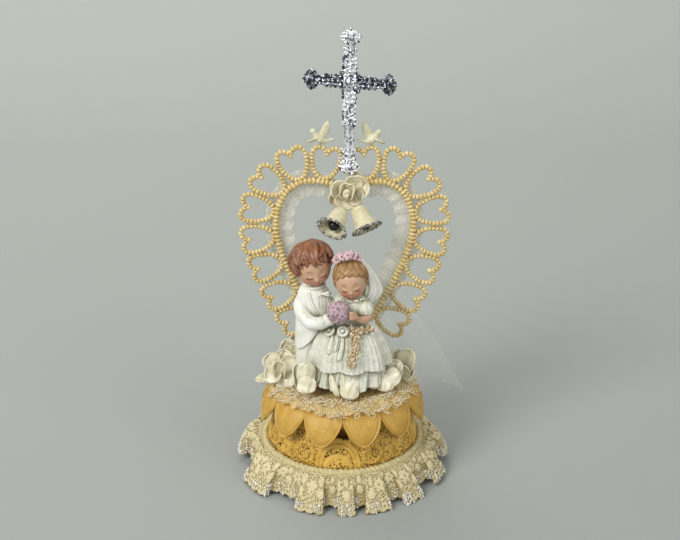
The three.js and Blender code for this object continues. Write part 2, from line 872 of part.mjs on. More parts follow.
// Doves, wings up, as shares of the dove's length from the bead that it sits on
const doveShares = [
  { from: [-0.05, 0, 0.17], to: [0.26, 0, 0.42], r: [0.17, 0.15], flat: 1 },
  { from: [0.3, 0, 0.48], to: [0.46, -0.03, 0.66], r: [0.13, 0.12], flat: 1 },
  { from: [0.02, 0.06, 0.3], to: [-0.24, 0.1, 1.02], r: [0.17, 0.11], flat: 0.45 },
  { from: [0.2, -0.04, 0.26], to: [0.68, -0.06, 0.14], r: [0.17, 0.11], flat: 0.5 },
  { from: [-0.05, 0.04, 0.2], to: [-0.4, 0.16, 0.2], r: [0.1, 0.12], flat: 0.4 },
];

function dove(side) {
  const point = (share) => vec(share[0] * side, share[1], share[2]).multiplyScalar(doveLength);
  const limbs = doveShares.map((part) => limb(
    point(part.from),
    point(part.to),
    part.r[0] * doveLength,
    part.r[1] * doveLength,
    5,
    part.flat,
  ));
  return geometryFrom(joined(limbs));
}

// Cross: beaded-edge bars with budded ends and a foliate boss

function crossBarGeometry(length, middle, upright) {
  const half = crossBar / 2;
  const shape = new THREE.Shape();
  shape.moveTo(-half, -length / 2);
  shape.lineTo(half, -length / 2);
  shape.lineTo(half, length / 2);
  shape.lineTo(-half, length / 2);
  shape.closePath();
  const bevel = crossThickness / 3;
  const bar = new THREE.ExtrudeGeometry(shape, {
    depth: crossThickness - 2 * bevel,
    bevelThickness: bevel,
    bevelSize: bevel,
    bevelOffset: -bevel,
    bevelSegments: 1,
  });
  bar.translate(0, 0, -(crossThickness / 2 - bevel));
  bar.rotateX(Math.PI / 2);
  if (!upright) {
    bar.rotateY(Math.PI / 2);
  }
  bar.translate(0, 0, middle);
  return bar;
}

// Buds round one end, as shares of the bud's radius: along the arm, across it, and size
const budShares = [
  { along: -1, across: 0, size: 0.85 },
  { along: -2.4, across: 0.95, size: 0.8 },
  { along: -2.4, across: -0.95, size: 0.8 },
];

function crossEnd(direction, reach) {
  const centre = vec(0, 0, crossingHeight);
  const across = vec(direction.z, 0, -direction.x);
  return budShares.map((bud) => {
    const place = centre.clone()
      .addScaledVector(direction, reach + bud.along * crossBud * 0.85)
      .addScaledVector(across, bud.across * crossBud);
    const size = crossBud * bud.size;
    return ellipsoid(place, vec(size, crossThickness / 2, size), 6, 4);
  });
}

function crossGeometry() {
  const side = crossSpan / 2;
  const rise = crossHeight - crossingHeight;
  const upright = crossBarGeometry(crossHeight - 2 * crossBud, crossHeight / 2, true);
  const arms = crossBarGeometry(crossSpan - 2 * crossBud, crossingHeight, false);
  const ends = [
    ...crossEnd(vec(0, 0, 1), rise),
    ...crossEnd(vec(0, 0, -1), crossingHeight),
    ...crossEnd(vec(1, 0, 0), side),
    ...crossEnd(vec(-1, 0, 0), side),
  ];
  const leaves = [];
  for (let i = 0; i < 4; i += 1) {
    const angle = turn * (i + 0.5) / 4;
    const reach = crossBar * 0.75;
    const place = vec(reach * Math.cos(angle), 0, crossingHeight + reach * Math.sin(angle));
    leaves.push(ellipsoid(place, vec(crossBud, crossThickness / 2, crossBud), 6, 4));
  }
  const boss = ellipsoid(vec(0, 0, crossingHeight), vec(crossBud, crossThickness * 0.75, crossBud));
  return geometryFrom(joined([upright, arms, ...ends, ...leaves, boss]));
}

// Bells: profile of the outside, as shares of mouth radius and length below the crown
const bellShares = [
  { r: 0, z: 0 },
  { r: 0.32, z: 0.01 },
  { r: 0.46, z: 0.1 },
  { r: 0.56, z: 0.32 },
  { r: 0.64, z: 0.6 },
  { r: 0.78, z: 0.84 },
  { r: 1, z: 1 },
];

function bellShell() {
  const outer = bellShares.map((row) => new THREE.Vector2(row.r * bellMouth, -row.z * bellLength));
  const inner = bellShares.slice(1).reverse().map((row) => new THREE.Vector2(
    Math.max(row.r * bellMouth - bellWall, bellWall),
    -Math.max(row.z * bellLength, bellWall * 1.5),
  ));
  const roof = new THREE.Vector2(0, -bellWall * 1.5);
  return revolved([...outer, ...inner.slice(0, -1), roof], 12);
}

// Directions in which the bells hang, from crown to mouth
const leftBellShares = vec(-0.297, -0.804, -0.513).normalize();
const rightBellShares = vec(0.312, -0.503, -0.806).normalize();

function towards(direction) {
  return new THREE.Quaternion().setFromUnitVectors(vec(0, 0, -1), direction);
}

function bellGeometry(direction) {
  const shell = bellShell();
  const drop = loopRadius;
  shell.translate(0, 0, -drop);
  shell.applyQuaternion(towards(direction));
  const loop = new THREE.TorusGeometry(loopRadius, loopWire, 4, 8);
  loop.rotateX(Math.PI / 2);
  const hangPoint = vec(direction.x, 0, direction.z).normalize().multiplyScalar(loopRadius);
  const crown = direction.clone().multiplyScalar(drop + bellWall);
  const neck = limb(hangPoint, crown, loopWire * 1.4, loopWire * 1.6, 6);
  return geometryFrom(joined([shell, loop, neck]));
}

function clapperGeometry(direction) {
  const roof = -(loopRadius + bellWall * 1.5 + glueGap);
  const beadPlace = -(loopRadius + bellLength - clapperRadius * 0.9);
  const stem = limb(vec(0, 0, roof - clapperStem), vec(0, 0, beadPlace), clapperStem, clapperStem, 6);
  const bead = ellipsoid(vec(0, 0, beadPlace), vec(clapperRadius, clapperRadius, clapperRadius), 9, 6);
  const whole = geometryFrom(joined([stem, bead]));
  return whole.applyQuaternion(towards(direction));
}

// One bent wire carries both bells and is held behind the cleft rose
function bellHanger() {
  const back = ringFront - glueGap - hangerWire;
  const tip = bellPivotDepth - loopWire - hangerWire;
  const rise = cleftRoseHeight - (leftPivotHeight + rightPivotHeight) / 2;
  const route = [
    vec(leftPivotX, tip, leftPivotHeight),
    vec(leftPivotX, bellPivotDepth + hangerWire, leftPivotHeight),
    vec(leftPivotX, back - hangerWire * 2, leftPivotHeight),
    vec(leftPivotX, back, leftPivotHeight + hangerWire * 3),
    vec(mix(leftPivotX, rightPivotX, 0.25), back, leftPivotHeight + rise * 0.8),
    vec(mix(leftPivotX, rightPivotX, 0.75), back, rightPivotHeight + rise * 0.8),
    vec(rightPivotX, back, rightPivotHeight + hangerWire * 3),
    vec(rightPivotX, back - hangerWire * 2, rightPivotHeight),
    vec(rightPivotX, bellPivotDepth + hangerWire, rightPivotHeight),
    vec(rightPivotX, tip, rightPivotHeight),
  ];
  const curve = new THREE.CatmullRomCurve3(route, false, 'centripetal');
  const points = curve.getPoints(20);
  return beaded(points, hangerWire, hangerWire, 5, vec(0.3, 0.2, 1).normalize(), false);
}

// Tulle veil, from behind the bride's headdress down past the rose on the right
const veilColumnShares = [0, 0.12, 0.24, 0.36, 0.48, 0.6, 0.72, 0.86, 1];
const veilFoldShare = 0.6;
const veilSweep = 2.3;

// Rows from the top down: the left and right edges as shares of reach and drop
const veilRowShares = [
  { left: 0.06, right: 0.18, drop: 0.01, share: 0 },
  { left: 0.068, right: 0.46, drop: 0.22, share: 0.2 },
  { left: 0.076, right: 0.583, drop: 0.4, share: 0.4 },
  { left: 0.084, right: 0.742, drop: 0.58, share: 0.6 },
  { left: 0.092, right: 0.886, drop: 0.8, share: 0.8 },
  { left: 0.1, right: 1, drop: 1, share: 1 },
];

function tulleVeil() {
  const footDepth = ringFront - glueGap - veilThickness;
  const innerFoot = figureFloor + overrun;
  const rows = veilColumnShares.map((s, i) => veilRowShares.map((row) => {
    const fold = veilFoldShare * row.share * (i % 2 === 0 ? -1 : 1) * veilThickness;
    const innerHeight = mix(veilTop, innerFoot, row.share);
    const outerHeight = mix(veilTop, veilCorner, row.drop);
    return vec(
      mix(row.left, row.right, s) * veilReach,
      mix(veilDepth, footDepth, row.share) + fold,
      mix(innerHeight, outerHeight, s ** veilSweep),
    );
  }));
  const normals = rows.map((row) => row.map(() => vec(0, 1, 0)));
  return sheet(rows, normals, veilThickness, false);
}

// Materials

function material(color, roughness, metalness = 0) {
  return new THREE.MeshStandardMaterial({ color, roughness, metalness });
}

const yellowPlastic = material('#dcae58', 0.45);
const petalPlastic = material('#e2b162', 0.5);
const creamPlastic = material('#e6c988', 0.4);
const dovePlastic = material('#e9e3bd', 0.45);
const laceThread = material('#e9ddbd', 0.85);
const tulle = material('#c9bda2', 0.9);
const bisque = material('#f2efe6', 0.35);
const satin = material('#efead8', 0.6);
const chrome = material('#d9dbe2', 0.08, 1);
const flocking = material('#e9dfb4', 0.9);
const blackBead = material('#141414', 0.3);
const wireMetal = material('#b9b4a4', 0.35, 1);
const copperGlitter = material('#d9a777', 0.35, 0.6);

// Assembly

const topper = new THREE.Group();
const base = new THREE.Group();
base.position.set(-centreShift, 0, 0);
topper.add(base);

function addPiece(parent, name, geometry, finish) {
  const mesh = new THREE.Mesh(geometry, finish);
  mesh.name = name;
  parent.add(mesh);
  return mesh;
}

addPiece(base, 'base_skirt', baseSkirt(), yellowPlastic);
addPiece(base, 'petal_canopy', petalCanopy(), petalPlastic);
addPiece(base, 'lace_header', laceHeader(), laceThread);
addPiece(base, 'lace_ruffle', laceRuffle(), laceThread);
addPiece(base, 'tulle_ruffle', tulleRuffle(), tulle);

const couple = new THREE.Group();
couple.position.set(0, 0, figureFloor);
base.add(couple);
addPiece(couple, 'couple_figurine', coupleFigurine(), bisque);
addPiece(couple, 'bead_garland', beadGarland(), copperGlitter);

// Flowers beside the couple: near edge and place along it as shares of the couple's height, size as
// a share of the rose's, rise over the tulle as a share of its waves
const plateFlowerShares = [
  { name: 'rose_left', side: -1, beside: 0.3167, along: -0.0425, size: 1.02, tilt: 0.5, rise: 0.7 },
  { name: 'rose_left_rear', side: -1, beside: 0.2441, along: 0.2638, size: 0.85, tilt: 0.4, rise: 0 },
  { name: 'rose_right', side: 1, beside: 0.3415, along: -0.017, size: 0.9, tilt: 0.5, rise: 0 },
  { name: 'rose_right_front', side: 1, beside: 0.2533, along: -0.2253, size: 0.68, tilt: 0.35, rise: 0 },
  { name: 'rose_front_left', side: -1, beside: 0.15, along: -0.285, size: 0.76, tilt: 0.45, rise: 0 },
  { name: 'rose_front', side: 1, beside: -0.035, along: -0.345, size: 0.7, tilt: 0.45, rise: 0 },
];
const leafyFlower = 'rose_left';

for (const flower of plateFlowerShares) {
  const radius = roseRadius * flower.size;
  const depth = roseDepth * flower.size;
  let geometry = roseGeometry(radius, depth);
  if (flower.name === leafyFlower) {
    const leaf = roseLeaf(radius * 1.5, radius * 0.8, roseDepth * 0.08);
    leaf.rotateZ(Math.PI * 1.06);
    leaf.translate(0, 0, depth * 0.14);
    geometry = geometryFrom(joined([geometry, leaf]));
  }
  const rose = addPiece(base, flower.name, geometry, satin);
  const lift = radius * 0.35 * Math.sin(flower.tilt);
  const seat = figureFloor + glueGap / 2 + flower.rise * tulleWaveHeight;
  const across = flower.side * (flower.beside * coupleHeight + radius);
  rose.position.set(across, flower.along * coupleHeight, seat + lift);
  rose.rotation.set(flower.tilt, 0, 0);
}

const heart = new THREE.Group();
heart.position.set(0, heartDepth, canopyTop);
heart.rotation.set(0, heartLean, 0);
base.add(heart);
addPiece(heart, 'heart_frame', heartFrame(), creamPlastic);
const trim = addPiece(heart, 'heart_lace_trim', heartLaceTrim(), laceThread);
trim.position.set(0, ringBead + glueGap + trimThickness / 2, 0);

const topHeart = smallHeart(heartSeats[0], 1);
topHeart.computeBoundingBox();
for (const side of [-1, 1]) {
  const name = side < 0 ? 'dove_left' : 'dove_right';
  const bird = addPiece(heart, name, dove(side), dovePlastic);
  bird.position.set(side * doveSpread, 0, topHeart.boundingBox.max.z + glueGap);
}

const cross = addPiece(heart, 'cross', crossGeometry(), chrome);
const crossTurnRoom = crossBud * Math.sin(Math.abs(crossYaw));
cross.position.set(crossX, -(strandNeck + glueGap + crossThickness / 2 + crossTurnRoom), crossSeat);
cross.rotation.set(0, 0, crossYaw);

const cleftRose = addPiece(base, 'cleft_rose', roseGeometry(roseRadius, roseDepth), satin);
const roseBack = ringFront - 2 * glueGap - 2 * hangerWire;
cleftRose.position.set(cleftRoseX, roseBack, cleftRoseHeight);
cleftRose.rotation.set(Math.PI / 2, 0, 0);

addPiece(base, 'bell_hanger', bellHanger(), wireMetal);
const bells = [
  { side: 'left', x: leftPivotX, z: leftPivotHeight, direction: leftBellShares },
  { side: 'right', x: rightPivotX, z: rightPivotHeight, direction: rightBellShares },
];
for (const bell of bells) {
  const shell = addPiece(base, `bell_${bell.side}`, bellGeometry(bell.direction), flocking);
  const clapper = addPiece(base, `clapper_${bell.side}`, clapperGeometry(bell.direction), blackBead);
  shell.position.set(bell.x, bellPivotDepth, bell.z);
  clapper.position.set(bell.x, bellPivotDepth, bell.z);
}

addPiece(base, 'tulle_veil', tulleVeil(), tulle);

export default topper;
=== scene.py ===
# Wedding cake topper, dressed for the render. Lengths are millimetres from the base's axis,
# with the front towards -Y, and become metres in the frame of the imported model.
import math

import bpy
import numpy as np
from mathutils import Euler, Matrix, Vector, kdtree
from mathutils.bvhtree import BVHTree


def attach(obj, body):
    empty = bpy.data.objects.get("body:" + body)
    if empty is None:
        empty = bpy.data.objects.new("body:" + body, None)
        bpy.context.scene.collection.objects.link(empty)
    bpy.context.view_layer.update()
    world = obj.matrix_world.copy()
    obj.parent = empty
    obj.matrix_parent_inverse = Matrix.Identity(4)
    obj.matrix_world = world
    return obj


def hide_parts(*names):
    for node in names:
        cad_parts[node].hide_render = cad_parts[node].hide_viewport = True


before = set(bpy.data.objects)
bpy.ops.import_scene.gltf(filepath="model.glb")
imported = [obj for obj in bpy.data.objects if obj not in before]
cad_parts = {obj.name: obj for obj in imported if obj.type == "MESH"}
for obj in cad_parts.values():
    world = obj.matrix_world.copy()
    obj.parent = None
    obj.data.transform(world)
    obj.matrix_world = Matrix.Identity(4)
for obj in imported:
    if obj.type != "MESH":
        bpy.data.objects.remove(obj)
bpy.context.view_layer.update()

MM = 0.001
CENTRE_SHIFT = 5.0
TAU = 2 * math.pi
FRONT = -math.pi / 2
ROOT = "topper"

# Sizes shared with the solids
SKIRT_HEIGHT, SKIRT_FOOT, SKIRT_TOP = 47.8, 40.7, 32.0
CANOPY_TOP = 50.1
HEADER_HEIGHT = 16.7
FLOOR = 51.7
HEART_DEPTH, HEART_FOOT = 10.0, 9.9
HEART_HALF_WIDTH, HEART_HEIGHT = 35.5, 98.7
HEART_LEAN = math.radians(0.7)


def to_metres(points):
    points = np.array(points, float).reshape(-1, 3)
    points[:, 0] -= CENTRE_SHIFT
    return points * MM


def unit(v):
    v = np.asarray(v, float)
    return v / np.linalg.norm(v)


def mix(a, b, t):
    return a + (b - a) * t


def smoothstep(a, b, x):
    t = np.clip((x - a) / (b - a), 0, 1)
    return t * t * (3 - 2 * t)


def hump(x, width):
    return np.exp(-(x / width) ** 2)


def around(count):
    """The angles of evenly parted points on a full turn."""
    return TAU * np.arange(count) / count


def polar(radius, angle, height, x=0.0, y=0.0, depth=None):
    """Points round an upright axis; a depth beside the radius makes ovals of the circles."""
    depth = radius if depth is None else depth
    return np.stack(np.broadcast_arrays(x + radius * np.cos(angle), y + depth * np.sin(angle), height), -1)


def taper(count, shares, values):
    return np.interp(np.linspace(0, 1, count), shares, values)


def between(values):
    return (values[:-1] + values[1:]) / 2


def travelled(points):
    """The way walked along a line, at each of its points."""
    return np.concatenate([[0], np.cumsum(np.linalg.norm(np.diff(points, axis=0), axis=1))])


def spaced(fine, count, closed=False):
    travel = travelled(fine)
    wanted = np.linspace(0, travel[-1], count + closed)[:count]
    return np.stack([np.interp(wanted, travel, column) for column in fine.T], 1)


# Camera: worked out from the photograph's 680 by 540 frame

CAMERA_PLACE = np.array([-1.3, -750.0, 445.0])
CAMERA_PITCH = math.radians(23.85)
CAMERA_FOCAL = 1587.0
PHOTO_WIDTH, PHOTO_HEIGHT = 680, 540
SENSOR = 36.0


def linked(name, data):
    obj = bpy.data.objects.new(name, data)
    bpy.context.scene.collection.objects.link(obj)
    return obj


camera_data = bpy.data.cameras.new("camera")
camera_data.sensor_width = SENSOR
camera_data.lens = CAMERA_FOCAL / PHOTO_WIDTH * SENSOR
camera_data.clip_start, camera_data.clip_end = 0.05, 20
camera = linked("camera", camera_data)
camera.location = to_metres(CAMERA_PLACE)[0]
camera.rotation_euler = (math.pi / 2 - CAMERA_PITCH, 0, 0)
bpy.context.scene.camera = camera


def sight(u, v):
    """Direction from the camera through a place in the photograph's frame."""
    forward = np.array([0, math.cos(CAMERA_PITCH), -math.sin(CAMERA_PITCH)])
    up = np.array([0, math.sin(CAMERA_PITCH), math.cos(CAMERA_PITCH)])
    across = (u - PHOTO_WIDTH / 2) / CAMERA_FOCAL
    rise = (PHOTO_HEIGHT / 2 - v) / CAMERA_FOCAL
    return unit(forward + np.array([across, 0, 0]) + up * rise)


def at_depth(u, v, y):
    """The place on a sight line at a given depth."""
    way = sight(u, v)
    return CAMERA_PLACE + way * (y - CAMERA_PLACE[1]) / way[1]


# Forms: points and faces gathered before they become one piece

class Form:
    def __init__(self):
        self.points, self.faces, self.slots, self.uv, self.count = [], [], [], [], 0

    def add(self, points, faces, slot=0, uv=None):
        points = np.asarray(points, float).reshape(-1, 3)
        self.points.append(points)
        self.faces.extend(tuple(i + self.count for i in face) for face in faces)
        self.slots.extend([slot] * len(faces))
        self.uv.append(np.zeros((len(points), 2)) if uv is None else np.asarray(uv).reshape(-1, 2))
        self.count += len(points)
        return self

    def all_points(self):
        return np.concatenate(self.points)

    def tree(self):
        return BVHTree.FromPolygons([tuple(p) for p in self.all_points()], self.faces)

    def mesh(self, name):
        mesh = bpy.data.meshes.new(name)
        mesh.from_pydata(to_metres(self.all_points()).tolist(), [], self.faces)
        mesh.polygons.foreach_set("material_index", self.slots)
        corners = np.zeros(len(mesh.loops), int)
        mesh.loops.foreach_get("vertex_index", corners)
        layer = mesh.uv_layers.new(name="flat")
        layer.data.foreach_set("uv", np.concatenate(self.uv)[corners].ravel())
        mesh.update()
        return mesh


def finished(form, name, materials, replaces=(), body=ROOT, thickness=0, smooth=True):
    """The piece made of a form; a thickness below 0 goes inward only."""
    mesh = form.mesh(name)
    for material in materials:
        mesh.materials.append(material)
    mesh.polygons.foreach_set("use_smooth", [smooth] * len(mesh.polygons))
    obj = linked(name, mesh)
    if thickness:
        modifier = obj.modifiers.new("thickness", "SOLIDIFY")
        modifier.thickness = abs(thickness) * MM
        modifier.offset = -1 if thickness < 0 else 0
    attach(obj, body)
    if replaces:
        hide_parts(*replaces)
    return obj


def lattice(rows, columns, close_rows=False, close_columns=False):
    faces = []
    for i in range(rows if close_rows else rows - 1):
        here, after = i * columns, (i + 1) % rows * columns
        for j in range(columns if close_columns else columns - 1):
            k = (j + 1) % columns
            faces.append((here + j, after + j, after + k, here + k))
    return faces


def lidded(rows, columns):
    """The faces of a closed skin: rings with a lid on the first and the last."""
    lids = [tuple(range(columns)), tuple((rows - 1) * columns + j for j in reversed(range(columns)))]
    return lattice(rows, columns, False, True) + lids


def tube(form, path, radii, sides=8, closed=False, squash=1.0, up=None, slot=0):
    """A round or oval skin along a path, with lids where it isn't closed."""
    path = np.asarray(path, float)
    count = len(path)
    radii = np.broadcast_to(np.asarray(radii, float), (count,))
    along = np.roll(path, -1, 0) - np.roll(path, 1, 0) if closed else np.gradient(path, axis=0)
    along /= np.linalg.norm(along, axis=1)[:, None] + 1e-12
    side = np.cross(np.array([0, 0, 1.0]) if up is None else unit(up), along[0])
    if np.linalg.norm(side) < 1e-3:
        side = np.cross([0, 1.0, 0], along[0])
    sides_list = []
    for direction in along:
        if up is not None:
            side = np.cross(unit(up), direction)
        side = unit(side - direction * np.dot(side, direction))
        sides_list.append(side)
    side = np.array(sides_list)
    rise = np.cross(along, side)
    angle = around(sides)
    ring = (side[:, None] * np.cos(angle)[None, :, None]
            + rise[:, None] * np.sin(angle)[None, :, None] * squash)
    faces = lattice(count, sides, True, True) if closed else lidded(count, sides)
    return form.add(path[:, None] + ring * radii[:, None, None], faces, slot)


def limb(form, path, radii, sides=12, squash=1.0, up=None, slot=0):
    """A tube whose ends are rounded off."""
    path = np.asarray(path, float)
    radii = np.broadcast_to(np.asarray(radii, float), (len(path),))
    first, last = unit(path[0] - path[1]), unit(path[-1] - path[-2])
    steps = [(0.97, 0.2), (0.85, 0.53), (0.6, 0.8), (0.3, 0.95)]
    head = [path[0] + first * radii[0] * s for s, _ in steps]
    tail = [path[-1] + last * radii[-1] * s for s, _ in reversed(steps)]
    widths = np.concatenate([[radii[0] * w for _, w in steps], radii,
                             [radii[-1] * w for _, w in reversed(steps)]])
    return tube(form, np.concatenate([head, path, tail]), widths, sides, False, squash, up, slot)


def curve(stops, count):
    """Evenly parted points on a smooth curve through the stops."""
    stops = np.asarray(stops, float)
    n = len(stops)
    fine = []
    for i in range(n - 1):
        b, c = stops[i], stops[i + 1]
        a = stops[i - 1] if i else 2 * b - c
        d = stops[i + 2] if i + 2 < n else 2 * c - b
        for t in np.arange(16) / 16:
            fine.append(0.5 * (2 * b + (c - a) * t + (2 * a - 5 * b + 4 * c - d) * t * t
                               + (3 * b - a - 3 * c + d) * t ** 3))
    return spaced(np.array(fine + [stops[-1]]), count)


def through(stops, count=20):
    """A smooth curve through places in the frame, each at its own depth."""
    return curve([at_depth(*stop) for stop in stops], count)


def ball_grid(cuts):
    """A sphere of quads: a cube's grid blown round."""
    points, faces, index = [], [], {}

    def vertex(p):
        key = tuple(np.round(p, 6))
        if key not in index:
            index[key] = len(points)
            points.append(p / np.linalg.norm(p))
        return index[key]

    steps = np.tan(np.linspace(-1, 1, cuts + 1) * math.pi / 4)
    for axis in range(3):
        for sign in (-1, 1):
            for i in range(cuts):
                for j in range(cuts):
                    corner = []
                    for a, b in ((i, j), (i + 1, j), (i + 1, j + 1), (i, j + 1)):
                        p = np.zeros(3)
                        p[axis] = sign
                        p[(axis + 1) % 3], p[(axis + 2) % 3] = steps[a], steps[b]
                        corner.append(vertex(p))
                    faces.append(tuple(corner if sign > 0 else corner[::-1]))
    return np.array(points), faces


BALLS = {cuts: ball_grid(cuts) for cuts in (3, 4, 8, 16)}


def ball(form, centre, radii, cuts=8, turn=None, slot=0):
    points, faces = BALLS[cuts]
    points = points * np.asarray(radii, float)
    if turn is not None:
        points = points @ np.asarray(turn).T
    return form.add(points + np.asarray(centre, float), faces, slot)


def loft(form, sections, columns, rows):
    """A closed skin through oval sections (x, y, z, half width, half depth)."""
    rings = [polar(rx, around(columns), z, x, y, ry) for x, y, z, rx, ry in curve(sections, rows)]
    return form.add(np.array(rings), lidded(rows, columns))


def lathe(profile, columns, turn=None, centre=(0, 0, 0), form=None):
    """An open skin from (radius, height) pairs round the z axis."""
    profile = np.asarray(profile, float)
    points = polar(profile[:, :1], around(columns), profile[:, 1:]).reshape(-1, 3)
    if turn is not None:
        points = points @ np.asarray(turn).T
    return (form or Form()).add(points + np.asarray(centre, float), lattice(len(profile), columns, False, True))


def fused(form, voxel, rounds):
    """One skin round all closed parts of a form, smoothed."""
    mesh = form.mesh("scratch")
    obj = linked("scratch", mesh)
    remesh = obj.modifiers.new("remesh", "REMESH")
    remesh.mode, remesh.voxel_size = "VOXEL", voxel * MM
    relax = obj.modifiers.new("relax", "SMOOTH")
    relax.factor, relax.iterations = 0.5, rounds
    shown = obj.evaluated_get(bpy.context.evaluated_depsgraph_get())
    made = shown.to_mesh()
    points = np.zeros(len(made.vertices) * 3)
    made.vertices.foreach_get("co", points)
    faces = [tuple(p.vertices) for p in made.polygons]
    shown.to_mesh_clear()
    bpy.data.objects.remove(obj)
    bpy.data.meshes.remove(mesh)
    points = points.reshape(-1, 3) / MM
    points[:, 0] += CENTRE_SHIFT
    return Form().add(points, faces)


def normals_of(points, faces):
    """The normals of a grid's points, from its four-cornered faces."""
    total, square = np.zeros_like(points), np.array(faces)
    cross = np.cross(points[square[:, 2]] - points[square[:, 0]], points[square[:, 3]] - points[square[:, 1]])
    for k in range(4):
        np.add.at(total, square[:, k], cross)
    return total / (np.linalg.norm(total, axis=1)[:, None] + 1e-12)


def aim(direction, start=(0, 0, 1)):
    """The rotation that turns one direction into another."""
    return np.array(Vector(unit(start)).rotation_difference(Vector(unit(direction))).to_matrix())


def turn_of(x=0.0, y=0.0, z=0.0):
    return np.array(Euler((x, y, z), "XYZ").to_matrix())


def frame_cast(tree, u, v, lift=0.0):
    """Where the sight line through a place in the frame first meets a form, and its normal."""
    way = sight(u, v)
    place, normal, _, _ = tree.ray_cast(Vector(CAMERA_PLACE), Vector(way))
    if place is None:
        return None, None
    normal = np.array(normal)
    if np.dot(normal, way) > 0:
        normal = -normal
    return np.array(place) + normal * lift, normal


def laid(tree, stops, lift, count):
    """A curve through places in the frame, laid on a form."""
    found = [frame_cast(tree, u, v, lift)[0] for u, v in curve(stops, count)]
    return np.array([p for p in found if p is not None])


# Materials

class Shade:
    """A material made node by node; an input is a number, a colour or another node's output."""

    def __init__(self, name, **sockets):
        self.material = bpy.data.materials.new(name)
        self.material.use_nodes = True
        self.tree = self.material.node_tree
        self.shader = self.tree.nodes["Principled BSDF"]
        self.feed(self.shader, {key.replace("_", " "): value for key, value in sockets.items()})

    def feed(self, node, inputs):
        for key, value in inputs.items():
            socket = node.inputs[key]
            if isinstance(value, bpy.types.NodeSocket):
                self.tree.links.new(value, socket)
            else:
                socket.default_value = (*value, 1) if socket.type == "RGBA" else value

    def node(self, kind, out, inputs=(), **settings):
        node = self.tree.nodes.new("ShaderNode" + kind)
        for key, value in settings.items():
            setattr(node, key, value)
        self.feed(node, dict(inputs))
        return node.outputs[out]

    def place(self):
        return self.node("TexCoord", "Object")

    def noise(self, scale, detail=3.0):
        return self.node("TexNoise", "Fac", {"Vector": self.place(), "Scale": scale, "Detail": detail})

    def ramp(self, stops, share):
        colour = self.node("ValToRGB", "Color", {"Fac": share})
        elements = colour.node.color_ramp.elements
        while len(elements) < len(stops):
            elements.new(0.5)
        for element, (place, tone) in zip(elements, stops):
            element.position = place
            element.color = (*tone, 1)
        return colour

    def blend(self, share, first, second, way="MIX"):
        return self.node("Mix", 2, {0: share, 6: first, 7: second}, data_type="RGBA", blend_type=way)

    def part(self, axis, place):
        return self.node("SeparateXYZ", axis, {"Vector": place})

    def spread(self, value, low, high, to_low=0.0, to_high=1.0, **settings):
        return self.node("MapRange", "Result", {"Value": value, "From Min": low, "From Max": high,
                                                "To Min": to_low, "To Max": to_high}, **settings)

    def grain(self, scale, strength, depth):
        lift = self.node("Bump", "Normal", {"Strength": strength, "Distance": depth, "Height": self.noise(scale)})
        self.feed(self.shader, {"Normal": lift})


def surface(name, dark, light, roughness, scale=400.0, bump=0.2, bump_scale=900.0, depth=0.0002,
            recess_shade=None, reach=0.0025, spread=(0.35, 0.65), rings=None, **sockets):
    """Colour that drifts between two tones, with a fine bump, lines along an edge by the first uv
    coordinate, and painted shade in recesses: a darker colour mixed in by ambient occlusion."""
    shade = Shade(name, Roughness=roughness, **sockets)
    tone = shade.ramp([(spread[0], dark), (spread[1], light)], shade.noise(scale))
    if rings:
        lines = shade.ramp(rings, shade.part("X", shade.node("UVMap", "UV")))
        tone = shade.blend(1.0, tone, lines, "MULTIPLY")
    # Painted shade: where ambient occlusion finds the surface hemmed in, the recess colour takes over.
    if recess_shade:
        cover = shade.node("AmbientOcclusion", "AO", {"Distance": reach}, samples=6)
        tone = shade.blend(shade.spread(cover, 0.35, 0.95), recess_shade, tone)
    shade.feed(shade.shader, {"Base Color": tone})
    if bump:
        shade.grain(bump_scale, bump, depth)
    return shade.material


def net_material(name, colour, alpha, scale):
    """Sheer net: cover that drifts from place to place."""
    shade = Shade(name, Base_Color=colour, Roughness=0.8)
    shade.feed(shade.shader, {"Alpha": shade.spread(shade.noise(scale, 4.0), 0.3, 0.7, *alpha)})
    return shade.material


def skin_material(name, cheeks, reach, pale, blush):
    """Painted skin, with a blush that fades out round each cheek."""
    shade = Shade(name, Roughness=0.45)
    place, last = shade.place(), None
    for cheek in cheeks:
        apart = shade.node("VectorMath", "Value", {0: place, 1: tuple(to_metres(cheek)[0])}, operation="DISTANCE")
        fade = shade.spread(apart, 0, reach * MM, 1, 0, interpolation_type="SMOOTHSTEP")
        last = fade if last is None else shade.node("Math", "Value", {0: last, 1: fade}, operation="MAXIMUM")
    shade.feed(shade.shader, {"Base Color": shade.ramp([(0.0, pale), (1.0, blush)], last)})
    shade.grain(1500, 0.1, 0.0001)
    return shade.material


WHITE = (1, 1, 1)
# Painted shade: in the calls below, the colour after the bump depth darkens recesses found by ambient occlusion.
yellow = surface("yellow_plastic", (0.64, 0.375, 0.055), (0.78, 0.49, 0.095), 0.42, 260, 0.25, 2600, 0.0001,
                 (0.26, 0.135, 0.014), 0.0018)
petal_yellow = surface("petal_plastic", (0.53, 0.305, 0.044), (0.62, 0.38, 0.072), 0.5, 200, 0.5, 2200, 0.00025,
                       (0.42, 0.21, 0.03), 0.003,
                       rings=[(0.0, WHITE), (0.08, WHITE), (0.12, (0.87, 0.83, 0.75)), (0.17, WHITE), (0.3, WHITE),
                              (0.34, (0.93, 0.91, 0.87)), (0.38, WHITE), (0.56, (0.95, 0.93, 0.9)), (0.6, WHITE)])
cream_bead = surface("cream_plastic", (0.62, 0.46, 0.17), (0.80, 0.66, 0.34), 0.35, 300, 0.1, 2000, 0.0001,
                     (0.46, 0.30, 0.09), 0.0015)
dove_ivory = surface("dove_plastic", (0.60, 0.56, 0.35), (0.73, 0.70, 0.49), 0.4, 300, 0.2, 1500, 0.0001)
cream_thread = surface("lace_thread", (0.62, 0.52, 0.26), (0.82, 0.74, 0.47), 0.85, 1200, 0.8, 3500, 0.0003,
                       (0.42, 0.32, 0.13), 0.007)
